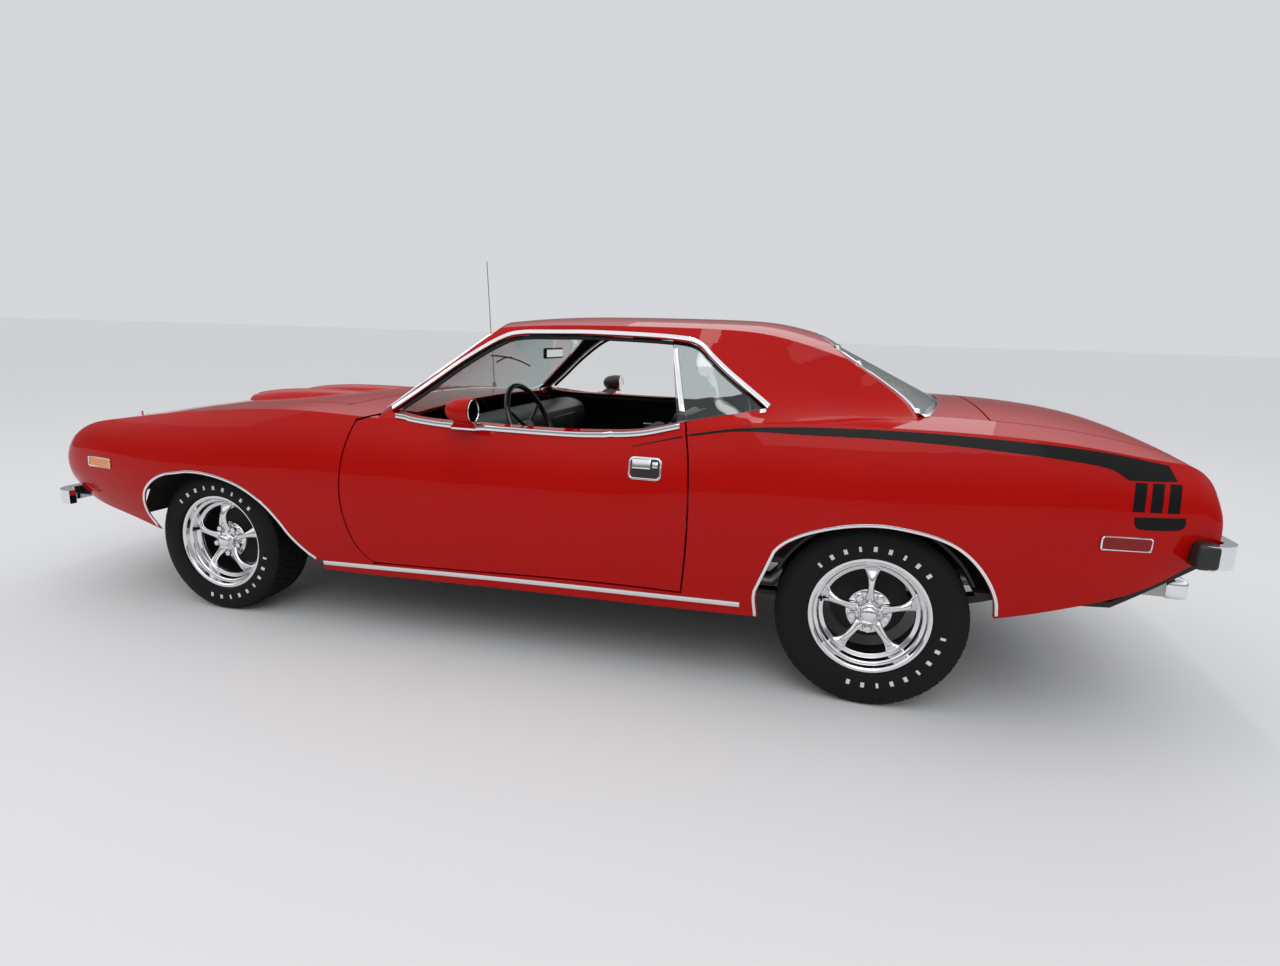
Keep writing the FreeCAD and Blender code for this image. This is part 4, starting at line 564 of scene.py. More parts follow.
# %% Window surround, wheel lips and sill strip
ROOF_SIDE = ["roof_panel", "side_panel_left"]
WINDOW_TOP = [(868, 928), (980, 1015), (1125, 1132), (1261, 1222), (1348, 1247), (1510, 1253), (1673, 1255),
              (1942, 1248), (2055, 1232), (2120, 1182), (2192, 1126), (2343, 1019)]
FRONT_ARCH = [(-282, 353), (-324, 427), (-321, 497), (-280, 555), (-197, 603), (-54, 628), (76, 621),
              (202, 589), (308, 530), (378, 464), (433, 395), (498, 336), (566, 292)]
REAR_ARCH = [(2361, 297), (2357, 400), (2411, 541), (2490, 606), (2618, 650), (2744, 666), (2871, 653),
             (2966, 625), (3033, 580), (3087, 515), (3120, 449), (3131, 390)]
SILL_LINE = [(579, 299), (1380, 322), (2300, 336)]
DOOR_TOP = [(905, 910), (1100, 892), (1271, 889), (1597, 887), (1752, 892), (1902, 905), (2048, 939)]
BEHIND_DOOR = ["side_panel_left"]
trims = [
    moulding("window_surround_left", WINDOW_TOP, 0.015, ROOF_SIDE, chrome, "body", 0.008, 90, 0.002, 0.008),
    moulding("front_wheel_lip_left", FRONT_ARCH, 0.011, ["fender_left"], chrome, "body", 0.006, 70, 0.001,
             0.0065),
    moulding("rear_wheel_lip_left", REAR_ARCH, 0.011, BEHIND_DOOR, chrome, "body", 0.006, 70, 0.001, 0.0065),
    moulding("sill_strip_left", SILL_LINE, 0.019, BEHIND_DOOR, chrome, "body", 0.006, 24, 0.002),
]

# %% [markdown]
# The strip under the door's window lies where the door turns over to the window slot, so a band laid by
# rays from beside would twist there. Only its lower edge is laid on the door, and the strip stands up from
# that edge. The bar between the windows stands on the glass in the same way.

# %% Strips below the windows and the bar between them
STRIP_HEIGHT, DIVIDER_SET = Vector((0, 0.0015, 0.0185)), Vector((0.030, 0, 0))
under = [touch(p, ["door_left"], 0.003) for p in smooth_line(beside(DOOR_TOP), 50)]
bridge([p for p in under if p], [p + STRIP_HEIGHT for p in under if p])
thicken(0.007)
trims.append(finish_piece("door_sill_strip_left", chrome, "door_left"))
trims.append(moulding("quarter_sill_strip_left", [(2080, 962), (2184, 984), (2340, 1013)], 0.012,
                      BEHIND_DOOR, chrome, "body", 0.006, 16, 0.002))
divider_line = smooth_line(beside([(2043, 966), (1965, 1212)]), 10)
on_glass = [touch(p + DIVIDER_SET, ["quarter_glass"], 0.001) for p in divider_line]
bridge([p - DIVIDER_SET * 0.3 for p in on_glass if p], [p - DIVIDER_SET for p in on_glass if p])
thicken(0.014)
trims.append(finish_piece("window_divider_left", chrome, "body"))
to_other_side(*trims)
print(len(trims), "mouldings a side")

# %% [markdown]
# ## Painted stripe
# A black stripe follows the crease of the quarter, grows towards the tail and ends in a block with three
# bars and a rounded foot. It could be a mask in the paint's material, but a sheet keeps a sharp edge at any
# distance. So each part is a very thin sheet over the paint, projected onto the panel by a Shrinkwrap.


# %% Stripe pieces
def decal(name, low, high, panel="side_panel_left", body="body", count=50, cuts=3):
    """A black sheet between two lines in side view, wrapped onto a panel. What misses it is deleted."""
    bridge(*(smooth_line(beside(line, -1.05), count) for line in (low, high)), cuts=cuts)
    modifier("SHRINKWRAP", target=nodes[panel], wrap_method="PROJECT", use_project_y=True,
             use_positive_direction=True, use_negative_direction=False, offset=0.0006)
    sheet = bpy.context.object
    bpy.ops.object.mode_set(mode="EDIT")
    bpy.ops.mesh.select_all(action="DESELECT")
    bpy.ops.object.mode_set(mode="OBJECT")
    for vertex in sheet.data.vertices:
        vertex.select = vertex.co.y < -1.0
    bpy.ops.object.mode_set(mode="EDIT")
    bpy.ops.mesh.delete(type="VERT")
    bpy.ops.object.mode_set(mode="OBJECT")
    thicken(0.0006, soft=0.0)
    return finish_piece(name, stripe_black, body)


def quarter_start(height):
    """Where the quarter starts behind the door at that height, in millimetres behind the front axle."""
    behind = [along for along in range(2030, 2130) if touch(beside([(along, height)])[0], BEHIND_DOOR)]
    return behind[0] + 1


seam = max(quarter_start(917), quarter_start(926))
decals = [
    decal("stripe_tip_left", [(1882, 869), (1980, 893), (seam - 16, 914)],
          [(1882, 871), (1980, 897), (seam - 16, 920)], "door_left", "door_left", 12, 0),
    decal("stripe_left",
          [(seam, 918), (2261, 947), (2489, 950), (2784, 950), (3088, 935), (3379, 906), (3466, 868)],
          [(seam, 925), (2261, 957), (2487, 974), (2781, 979), (3084, 970), (3375, 949), (3580, 916)],
          count=60, cuts=4),
    decal("stripe_end_left", [(3466, 868), (3530, 868), (3604, 870)],
          [(3467, 869), (3530, 905), (3581, 915)], count=10),
    decal("stripe_foot_left", [(3491, 742), (3497, 727), (3520, 719), (3605, 721), (3632, 729), (3640, 745)],
          [(3489, 757), (3500, 757), (3524, 758), (3592, 760), (3622, 761), (3634, 762)], count=30),
]
for i, start in enumerate((3482, 3532, 3582)):
    decals.append(decal(f"stripe_bar_{i}_left", [(start, 774), (start + 34, 774)],
                        [(start + 2, 862), (start + 36, 862)], count=4, cuts=6))
to_other_side(*decals)
print(len(decals), "stripe pieces a side, the first on the quarter at", seam, "mm behind the front axle")

# %% [markdown]
# ## Wheels
# The wheels are polished: a stepped lip leads down to five spokes, which are narrow at the hub and flare
# into the rim. The rim is a profile spun about the axle, with a small bevel on each step. Its inner barrel
# is given the black undercoat as painted shade, for the shadow in the real barrel, so the spokes stand out.


# %% Rim
AXLES = {"front": ((-1.430, -0.757, 0.308), 0.222, 0.196), "rear": ((1.313, -0.755, 0.328), 0.250, 0.222)}


def make_rim(end, centre, width, body):
    """The left wheel of an axle. Its outer face looks towards -y, and depths count from there."""
    x, y, z = centre
    face = y - width / 2
    profile = [
        (0.0, 0.2078), (0.008, 0.2078), (0.010, 0.193), (width - 0.010, 0.193), (width - 0.008, 0.2078),
        (width, 0.2078), (width, 0.194), (width - 0.024, 0.184), (0.078, 0.184), (0.072, 0.159),
        (0.060, 0.1545), (0.052, 0.158), (0.048, 0.172), (0.030, 0.177), (0.026, 0.181), (0.024, 0.189),
        (0.006, 0.192), (0.001, 0.198),
    ]
    turned(profile, (x, face, z), 96)
    modifier("BEVEL", width=0.0012, segments=2, limit_method="ANGLE", angle_limit=math.radians(20))
    rim = finish_piece(f"rim_{end}_left_lip", wheel_chrome, body)
    # The inner barrel gets the black undercoat as painted shade, for the shadow inside the real wheel.
    rim.data.materials.append(undercoat)
    for panel in rim.data.polygons:
        radius = math.hypot(panel.center.x - x, panel.center.z - z)
        if panel.center.y > face + 0.0735 and radius < 0.1925:
            panel.material_index = 1
    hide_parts(f"rim_{end}_left")


# %% [markdown]
# One spoke is drawn out of a small plane, station by station from the hub to the rim, and a subdivision
# rounds it. An Array modifier could set out the five, but real copies of the mesh, turned about the axle,
# are easier to join and need no helper object.


# %% Spokes
SPOKES = 5
SPOKE_STATIONS = ((0.038, 0.050, 0.020, 0.046), (0.060, 0.032, 0.024, 0.042), (0.085, 0.025, 0.026, 0.036),
                  (0.112, 0.026, 0.030, 0.034), (0.134, 0.036, 0.034, 0.040), (0.150, 0.054, 0.034, 0.050),
                  (0.168, 0.078, 0.030, 0.060))


def beam(stations):
    """A solid bar drawn upwards station by station: each gives its centre and its widths along x and y."""
    begin()
    first, wide, deep = stations[0]
    bpy.ops.mesh.primitive_plane_add(size=1, location=first)
    bpy.ops.object.transform_apply(location=True, rotation=True, scale=True)
    bpy.ops.object.mode_set(mode="EDIT")
    bpy.ops.mesh.select_all(action="SELECT")
    bpy.ops.transform.resize(value=(wide, deep, 1), center_override=first)
    for (here, w0, d0), (there, w1, d1) in zip(stations, stations[1:]):
        step = Vector(there) - Vector(here)
        bpy.ops.mesh.extrude_region_move(TRANSFORM_OT_translate={"value": step})
        bpy.ops.transform.resize(value=(w1 / w0, d1 / d0, 1), center_override=there)
    bpy.ops.mesh.select_all(action="SELECT")
    bpy.ops.mesh.normals_make_consistent(inside=False)
    bpy.ops.object.mode_set(mode="OBJECT")


def turn_all(piece, centre, copies, name, body):
    """Copies a piece round an axle and joins the copies to it."""
    to_axle, from_axle = Matrix.Translation(-Vector(centre)), Matrix.Translation(centre)
    ring = [piece]
    for i in range(1, copies):
        twin = piece.copy()
        twin.data = piece.data.copy()
        bpy.context.scene.collection.objects.link(twin)
        twin.data.transform(from_axle @ Matrix.Rotation(2 * math.pi * i / copies, 4, "Y") @ to_axle)
        ring.append(twin)
    join(ring)
    piece.name = name
    piece.data.name = name
    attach(piece, body)


def make_spokes(end, centre, width, body):
    """The five spokes of the left wheel of an axle."""
    x, y, z = centre
    face = y - width / 2
    beam([((x, face + depth, z + reach), wide, deep) for reach, wide, deep, depth in SPOKE_STATIONS])
    modifier("SUBSURF", levels=2, render_levels=2)
    spoke = finish_piece(f"spoke_{end}_left_0", wheel_chrome, body, 60)
    turn_all(spoke, centre, SPOKES, f"rim_{end}_left_spokes", body)


# %% [markdown]
# The hub is a round flange with a five-sided block on it, under a domed cap. Each nut has a round seat and
# six flat sides. Round parts are spun, and a cylinder with few sides gives each flat one, with a bevel for
# its worn edges. One nut is modelled between two spokes' roots and copied round. The rubber valve sits in
# the lip.


# %% Hub, cap, nuts and valve
def prism(sides, radius, depth, centre):
    """A bar along y with that many flat sides."""
    begin()
    bpy.ops.mesh.primitive_cylinder_add(vertices=sides, radius=radius, depth=depth, location=centre,
                                        rotation=(math.pi / 2, 0, 0))
    bpy.ops.object.transform_apply(location=True, rotation=True, scale=True)
    return bpy.context.object


def make_hub(end, centre, width, body):
    """Hub, cap, nuts and valve of a left wheel, again with depths from its outer face."""
    x, y, z = centre
    face = y - width / 2
    turned([(0.056, 0.020), (0.056, 0.060), (0.058, 0.078), (0.062, 0.081), (0.072, 0.081), (0.072, 0.020)],
           (x, face, z), 72)
    modifier("BEVEL", width=0.0015, segments=2, limit_method="ANGLE")
    finish_piece(f"hub_flange_{end}_left", wheel_chrome, body)
    prism(5, 0.047, 0.032, (x, face + 0.044, z))
    modifier("BEVEL", width=0.006, segments=4, limit_method="ANGLE")
    finish_piece(f"hub_block_{end}_left", wheel_chrome, body)
    turned([(0.040, 0.0), (0.040, 0.036), (0.026, 0.036), (0.024, 0.034), (0.023, 0.031), (0.021, 0.030),
            (0.014, 0.027), (0.010, 0.019), (0.008, 0.010), (0.0075, 0.0)], (x, face, z), 48)
    finish_piece(f"hub_cap_{end}_left", wheel_chrome, body, 50)
    nut_z = z - 0.0605
    seat = turned([(0.058, 0.0), (0.058, 0.0155), (0.054, 0.0160), (0.052, 0.0135), (0.052, 0.0)],
                  (x, face, nut_z), 24)
    nut = prism(6, 0.0125, 0.020, (x, face + 0.044, nut_z))
    modifier("BEVEL", width=0.0022, segments=3, limit_method="ANGLE")
    join([seat, nut])
    nut = finish_piece(f"nut_{end}_left_0", wheel_chrome, body)
    turn_all(nut, centre, SPOKES, f"wheel_nuts_{end}_left", body)
    turned([(0.018, 0.0), (0.018, 0.0035), (0.030, 0.0042), (0.048, 0.0055), (0.048, 0.0)],
           (x - 0.168 * math.cos(0.2), face, z + 0.168 * math.sin(0.2)), 12)
    finish_piece(f"tyre_valve_{end}_left", tyre_rubber, body)


for end, (centre, _, rim_width) in AXLES.items():
    make_rim(end, centre, rim_width, f"wheel_{end}_left")
    make_spokes(end, centre, rim_width, f"wheel_{end}_left")
    make_hub(end, centre, rim_width, f"wheel_{end}_left")

# %% [markdown]
# ## Tyres
# A tyre bulges beside the rim, has thin ribs where it meets the rim and turns to the tread in a rounded
# shoulder. All of that is one profile, so the carcass is spun. Its wall is listed from the bead out to the
# tread and mirrored for the other wall.


# %% Carcass
def make_carcass(end, centre, width, rim_width, body):
    """The carcass of the left tyre of an axle."""
    half, bead, top = width / 2, rim_width / 2 - 0.011, centre[2]
    wall = [
        (bead, 0.1935), (bead, 0.2088), (half - 0.006, 0.2105), (half - 0.001, 0.2140),
        (half + 0.0005, 0.2195), (half - 0.0005, 0.2225), (half + 0.001, 0.2245), (half + 0.002, 0.2360),
        (half + 0.0022, 0.2480), (half + 0.0015, 0.2650), (half, top - 0.036), (half - 0.003, top - 0.022),
        (half - 0.0045, top - 0.0205), (half - 0.007, top - 0.013), (half - 0.013, top - 0.0075),
        (half - 0.024, top - 0.0075),
    ]
    profile = wall + [(-along, radius) for along, radius in reversed(wall)]
    turned(profile, centre, 120)
    carcass = finish_piece(f"tyre_{end}_left_carcass", tyre_rubber, body, 40)
    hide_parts(f"tyre_{end}_left")


# %% [markdown]
# The tread is five rows of blocks with grooves between them, which repeat all round the tyre. They could be
# cut into the carcass with a Boolean, but that leaves long thin faces. One set of five blocks is modelled,
# every second row half a pitch on, and turned round the axle.


# %% Tread
PITCHES, TREAD_ROWS, SHOULDER = 60, 5, 0.012


def make_tread(end, centre, width, body):
    """The tread of the left tyre of an axle."""
    top = centre[2]
    pitch = 2 * math.pi * top / PITCHES
    row_width = (width - 2 * SHOULDER) / TREAD_ROWS
    blocks = []
    for row in range(TREAD_ROWS):
        y = centre[1] + (row - TREAD_ROWS // 2) * row_width
        shift = pitch * (0.5 if row % 2 else 0.0)
        low_z = top + math.sqrt(top**2 - shift**2)
        drop = 0.0025 if row in (0, TREAD_ROWS - 1) else 0.0
        middle = Vector((centre[0] + shift, y, low_z - drop))
        reach = Vector((pitch * 0.43, row_width * 0.44, 0))
        blocks.append(block(middle - reach - Vector((0, 0, 0.010)), middle + reach - Vector((0, 0, 0.0014)),
                            0.0012, 1))
    join(blocks)
    row = finish_piece(f"tread_{end}_left_0", tyre_rubber, body)
    turn_all(row, centre, PITCHES, f"tread_{end}_left", body)


# %% [markdown]
# Such tyres carry raised white lettering. Nothing is spelled here: two arcs of plain white bars stand in
# the letters' place, each a small block turned to its angle.


# %% White bars
def make_bars(end, centre, width, body):
    """Plain white bars on the outer wall of the left tyre of an axle."""
    half = width / 2
    bars = []
    for start, count in ((100, 9), (-46, 9)):
        for i in range(count):
            angle = math.radians(start + i * 11.5)
            wide = 0.0065 if i % 3 else 0.0045
            bar = block((-wide, -half - 0.0032, 0.238), (wide, -half - 0.0005, 0.256), 0.0008, 1)
            bar.data.transform(Matrix.Translation(centre) @ Matrix.Rotation(angle, 4, "Y"))
            bars.append(bar)
    join(bars)
    finish_piece(f"tyre_bars_{end}_left", raised_white, body)


for end, (centre, tyre_width, rim_width) in AXLES.items():
    make_carcass(end, centre, tyre_width, rim_width, f"wheel_{end}_left")
    make_tread(end, centre, tyre_width, f"wheel_{end}_left")
    make_bars(end, centre, tyre_width, f"wheel_{end}_left")
wheel_pieces = [o for o in bpy.data.objects if o.type == "MESH" and o.name not in nodes
                and o.get("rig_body", "").startswith("wheel_")]
for piece in wheel_pieces:
    twin = to_other_side(piece)
    end = "front" if "front" in piece.name else "rear"
    if "lip" in piece.name:
        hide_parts(f"rim_{end}_right")
    if "carcass" in piece.name:
        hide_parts(f"tyre_{end}_right")
print(len(wheel_pieces), "pieces on the left wheels, mirrored to the right")

# %% [markdown]
# ## Seats
# Two bucket seats and a bench in black vinyl. A filled cushion is rounder in the middle than at its edges.
# Sculpting could give that, but a short cloth simulation with pressure does it by itself, and evenly. It
# starts from a smaller block, and no point may move further than a limit.


# %% Swelling a cushion
def swell(piece, limit, frames=14):
    """Swells a closed mesh with a cloth simulation. No point moves further than the limit."""
    starts = [v.co.copy() for v in piece.data.vertices]
    cloth = piece.modifiers.new("cloth", "CLOTH")
    cloth.settings.use_pressure = True
    cloth.settings.uniform_pressure_force = 5.0
    cloth.settings.quality = 4
    cloth.settings.effector_weights.gravity = 0.0
    for frame_number in range(1, frames + 1):
        bpy.context.scene.frame_set(frame_number)
    only(piece)
    bpy.ops.object.modifier_apply(modifier="cloth")
    bpy.context.scene.frame_set(1)
    for vertex, start in zip(piece.data.vertices, starts):
        step = vertex.co - start
        if step.length > limit:
            vertex.co = start + step * (limit / step.length)


# %% [markdown]
# The sewn channels are grooves along the seat, and the piping sits in a shallow step round its face. A
# knife would cut them one by one. Here each vertex of the face is lowered by a small bell curve of its
# distance from the nearest seam, so all seams come out alike.


# %% Cushions with channels
EDGE, FADE, GROOVE = 0.05, 0.02, 0.006
CHANNEL_DEPTH, PIPING_PLACE, PIPING_DEPTH = 0.007, 0.045, 0.004


def cushion(name, low, high, body, lean=0.0, anchor=(0, 0, 0), channels=5, face="Z", swelling=0.012):
    """A vinyl cushion in a box, leaned about an axis along y. Its face looks along z or -x."""
    pad = block(low, high, 0.035, 3)
    modifier("REMESH", mode="VOXEL", voxel_size=0.014)
    swell(pad, swelling)
    levels = 1
    modifier("SUBSURF", levels=levels, render_levels=levels)
    along, up = (0, 2) if face == "Z" else (2, 0)
    side = 1 if face == "Z" else -1
    step = (high[1] - low[1] - 2 * EDGE) / channels
    for vertex in pad.data.vertices:
        place = vertex.co
        if vertex.normal[up] * side < 0.35:
            continue
        inside = min(place[along] - low[along], high[along] - place[along])
        across = place.y - low[1] - EDGE
        if inside > EDGE and -0.01 < across < channels * step + 0.01:
            near = abs(across / step - round(across / step)) * step
            depth = CHANNEL_DEPTH * min(1.0, (inside - EDGE) / FADE)
            place[up] -= side * depth * math.exp(-((near / GROOVE) ** 2))
        rim = min(inside, place.y - low[1], high[1] - place.y)
        place[up] -= side * PIPING_DEPTH * math.exp(-(((rim - PIPING_PLACE) / GROOVE) ** 2))
    if lean:
        only(pad)
        bpy.ops.object.mode_set(mode="EDIT")
        bpy.ops.mesh.select_all(action="SELECT")
        bpy.ops.transform.rotate(value=lean, orient_axis="Y", center_override=anchor)
        bpy.ops.object.mode_set(mode="OBJECT")
    pad = finish_piece(name, black_vinyl, body, 60)
    return pad


# %% [markdown]
# A bucket seat is a cushion and a leaning back on a hard shell and plinth, with rails to the floor and
# round covers on the hinges. The left seat is made whole and mirrored. The bench has two wide cushions over
# two skirts.

# %% Front seats and rear bench
LEAN = math.atan2(72, 400)
base_pad = cushion("front_seat_left_base", (-0.185, -0.655, 0.345), (0.225, -0.175, 0.470), "body")
back_pad = cushion("front_seat_left_back", (0.258, -0.655, 0.455), (0.330, -0.175, 0.905), "body", -LEAN,
                   (0.290, -0.415, 0.338), face="X")
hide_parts("front_seats")
shell = block((0.330, -0.640, 0.400), (0.345, -0.190, 0.900), 0.006, 2)
shell.data.transform(Matrix.Translation((0.290, 0, 0.338)) @ Matrix.Rotation(LEAN, 4, "Y")
                     @ Matrix.Translation((-0.290, 0, -0.338)))
seat_parts = [finish_piece("front_seat_left_shell", black_plastic, "body")]
block((-0.180, -0.640, 0.338), (0.300, -0.190, 0.352), 0.005, 2)
seat_parts.append(finish_piece("front_seat_left_plinth", black_plastic, "body"))
join([block((-0.130, y - 0.014, 0.3195), (0.270, y + 0.014, 0.339), 0.003, 2) for y in (-0.595, -0.265)])
seat_parts.append(finish_piece("front_seat_left_rails", tank_steel, "body"))
join([turned([(0.0, 0.0), (0.0, 0.022), (0.006, 0.024), (0.008, 0.0)], (0.315, y, 0.400), 24)
      for y in (-0.668, -0.162)])
seat_parts.append(finish_piece("front_seat_left_hinge_covers", chrome, "body"))
for pad in (base_pad, back_pad):
    to_other_side(pad)
to_other_side(*seat_parts)
bench_base = cushion("rear_seat_base", (0.700, -0.575, 0.485), (1.010, 0.575, 0.560), "body", channels=12)
bench_back = cushion("rear_seat_back", (1.052, -0.575, 0.590), (1.120, 0.575, 0.870), "body", -0.24,
                     (1.070, 0, 0.580), channels=12, face="X")
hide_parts("rear_seat")
join([block((0.700, low_y, 0.320), (0.860, low_y + 0.430, 0.490), 0.012, 2) for low_y in (-0.585, 0.155)])
finish_piece("rear_seat_skirt", black_vinyl, "body")

# %% [markdown]
# ## Cabin
# Each door has an armrest, a window crank and a pull on its inner side. Typed depths would hold only as
# long as the door stays as it is, so a ray from inside finds the door's inner face for each of them.


# %% Door trim
def inner_face(x, z):
    """Distance from the centre line to the left door's inner face."""
    return touch(Vector((x, -0.70, z)), ["door_left"], 0.0, (0, -1, 0)).y


arm_y = inner_face(0.25, 0.66)
block((-0.05, arm_y + 0.001, 0.640), (0.42, arm_y + 0.055, 0.685), 0.018, 4)
armrest = finish_piece("armrest_left", black_vinyl, "door_left", 50)
crank_y = inner_face(-0.22, 0.62)
boss = turned([(0.001, 0.0), (0.001, 0.022), (0.010, 0.019), (0.022, 0.010), (0.022, 0.0)],
              (-0.22, crank_y, 0.62), 32)
arm = rod([(-0.22, crank_y + 0.020, 0.62), (-0.185, crank_y + 0.026, 0.600),
           (-0.130, crank_y + 0.026, 0.575)], 0.005)
knob = turned([(0.022, 0.0), (0.022, 0.011), (0.048, 0.009), (0.050, 0.0)], (-0.130, crank_y, 0.575), 20)
join([boss, arm, knob])
crank = finish_piece("window_crank_left", chrome, "door_left")
pull_y = inner_face(0.08, 0.74)
block((0.03, pull_y + 0.001, 0.722), (0.17, pull_y + 0.016, 0.748), 0.006, 3)
to_other_side(armrest, crank, finish_piece("inner_handle_left", chrome, "door_left"))
print("door's inner face at y", [round(y, 3) for y in (arm_y, crank_y, pull_y)])

# %% [markdown]
# Four round dials stand in the dash: a bright ring, a dark face and eleven small marks each, spread over
# the dial by sine and cosine. Their depth comes from a ray at the dash, so they always sit on its face.

# %% Dials, glove box and heater panel
DIAL_FACE = nodes["dashboard"].ray_cast(Vector((0.1, -0.50, 0.770)), Vector((-1, 0, 0)))[1].x
rings, faces = [], []
for y, radius in ((-0.585, 0.042), (-0.475, 0.052), (-0.355, 0.052), (-0.245, 0.042)):
    dial = Vector((DIAL_FACE, y, 0.775))
    bore = radius - 0.006
    rings.append(turned([(-0.012, bore), (-0.012, radius), (0.012, radius), (0.015, radius - 0.003),
                         (0.010, bore)], dial, 40, "X"))
    faces.append(turned([(-0.010, 0.0), (-0.010, radius - 0.007), (0.004, radius - 0.007), (0.004, 0.0)],
                        dial, 40, "X"))
    for i in range(11):
        angle = math.radians(-120 + 24 * i)
        mark = dial + Vector((0.0045, 0, 0))
        mark += Vector((0, math.sin(angle), math.cos(angle))) * (radius - 0.014)
        reach = Vector((0.0005, 0.0010, 0.0035))
        rings.append(block(mark - reach, mark + reach))
join(rings)
finish_piece("dial_rings", chrome, "body")
join(faces)
finish_piece("dial_faces", black_rim, "body")
block((DIAL_FACE - 0.010, 0.22, 0.715), (DIAL_FACE + 0.006, 0.56, 0.820), 0.005, 2)
finish_piece("glove_box_lid", black_vinyl, "body")
block((DIAL_FACE - 0.010, -0.095, 0.735), (DIAL_FACE + 0.007, 0.095, 0.795), 0.004, 2)
finish_piece("heater_panel", black_rim, "body")
print(len(faces), "dials on the dash face at x", round(DIAL_FACE, 3))

# %% [markdown]
# The rear-view mirror hangs from the roof on a bent stem. The sun visors lie under the roof's lining, and
# rays sent upwards say how high that is.


# %% Rear-view mirror and sun visors
def lining(x, y):
    """Height of the roof's inner face."""
    return touch(Vector((x, y, 0.9)), ["roof_panel"], 0.0, (0, 0, 1)).z


block((-0.215, -0.115, 1.135), (-0.200, 0.115, 1.185), 0.010, 4)
finish_piece("rear_view_mirror", black_plastic, "body", 50)
block((-0.1998, -0.105, 1.142), (-0.1985, 0.105, 1.178), 0.0006, 1)
finish_piece("rear_view_mirror_glass", mirror_glass, "body")
head_z = lining(-0.15, 0)
rod([(-0.205, 0, 1.183), (-0.190, 0, (1.183 + head_z) / 2), (-0.160, 0, head_z - 0.002)], 0.005)
finish_piece("rear_view_mirror_stem", chrome, "body")
visor_z = min(lining(x, y) for x in (-0.10, 0.04) for y in (-0.52, -0.16))
block((-0.105, -0.54, visor_z - 0.024), (0.045, -0.15, visor_z - 0.006), 0.008, 3)
to_other_side(finish_piece("sun_visor_left", black_vinyl, "body", 50))
print("roof lining at", round(head_z, 3), "over the mirror; visors at", round(visor_z, 3))

# %% [markdown]
# ## Outside fittings
# The door handle is a bright frame round a dark recess, with a flap and a button in it. The markers in the
# fenders and quarters get thin frames. All of it is laid on the panels by rays, as the mouldings are.


# %% Door handles and marker frames
def rounded_outline(low, high, corner):
    """Points round a flat rectangle with rounded corners, as pairs."""
    middles = ((high[0] - corner, high[1] - corner), (low[0] + corner, high[1] - corner),
               (low[0] + corner, low[1] + corner), (high[0] - corner, low[1] + corner))
    turns = [(middle, math.radians(90 * i + 22.5 * j)) for i, middle in enumerate(middles) for j in range(5)]
    return [(a + corner * math.cos(turn), b + corner * math.sin(turn)) for (a, b), turn in turns]


def frame_on_side(name, low, high, corner, radius, names, body):
    """A bright rounded frame on the car's left side. Its corners are in millimetres."""
    outline = beside(rounded_outline(low, high, corner))
    rod([touch(point, names, 0.001) for point in outline], radius, closed=True)
    return finish_piece(name, chrome, body)


DOOR = ["door_left"]
handle = [
    frame_on_side("door_handle_frame_left", (1883, 762), (1998, 834), 16, 0.0042, DOOR, "door_left"),
    moulding("door_handle_recess_left", [(1890, 797), (1992, 799)], 0.062, DOOR, black_plastic, "door_left",
             0.002, 8, 0.001),
    moulding("door_handle_flap_left", [(1893, 812), (1962, 813)], 0.034, DOOR, chrome, "door_left", 0.009, 8,
             0.004),
    moulding("door_lock_button_left", [(1968, 812), (1989, 812)], 0.022, DOOR, chrome, "door_left", 0.012, 4,
             0.005),
]
to_other_side(*handle)
front_frame = frame_on_side("front_marker_frame_left", (-664, 607), (-516, 648), 8, 0.0026,
                            ["fender_left", "nose_panel", "front_markers"], "body")
rear_frame = frame_on_side("rear_marker_frame_left", (3406, 650), (3552, 691), 8, 0.0032,
                           ["side_panel_left", "rear_lamps"], "body")
print(len(handle), "handle pieces and 2 marker frames a side")

# %% [markdown]
# Inside the bright window surround runs a band of black rubber, a rod along the same line, set a little
# lower and deeper. The door mirror gets a spun ring and glass in its shell, and a thin foot. The headlamp's
# ring is spun too.

# %% Window band, door mirror and lamp rings
top_points = [touch(p, ROOF_SIDE) for p in shifted(smooth_line(beside(WINDOW_TOP), 70), 0.008)]
band_points = shifted([p for p in top_points if p], -0.021)
rod([p + Vector((0, 0.010, 0)) for p in band_points[2:-1]], 0.0075)
to_other_side(front_frame, rear_frame, finish_piece("window_band_left", weatherstrip, "body"))

MIRROR = (-0.147, -0.949, 0.966)
turned([(0.0005, 0.0), (0.0005, 0.043), (0.004, 0.045), (0.006, 0.043), (0.006, 0.040), (0.003, 0.039),
        (0.003, 0.0)], MIRROR, 48, "X")
mirror_ring = finish_piece("door_mirror_ring_left", chrome, "door_left")
turned([(0.0035, 0.0), (0.0035, 0.0385), (0.0045, 0.0385), (0.0045, 0.0)], MIRROR, 48, "X")
mirror_face = finish_piece("door_mirror_glass_left", mirror_glass, "door_left")
block((-0.270, -0.903, 0.9085), (-0.160, -0.845, 0.9125), 0.0015, 2)
to_other_side(mirror_ring, mirror_face, finish_piece("door_mirror_base_left", chrome, "door_left"))

lamp_low, lamp_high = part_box("headlamps")
lamp_r = (lamp_high[2] - lamp_low[2]) / 2
turned([(lamp_high[0] - 0.004, lamp_r + 0.0015), (lamp_high[0] - 0.004, lamp_r + 0.010),
        (lamp_low[0] + 0.012, lamp_r + 0.011), (lamp_low[0] + 0.006, lamp_r + 0.006),
        (lamp_low[0] + 0.010, lamp_r + 0.0015)], (0, -0.585, lamp_low[2] + lamp_r), 64, "X")
to_other_side(finish_piece("headlamp_ring_left", chrome, "body"))
print("headlamp radius", round(lamp_r, 4))

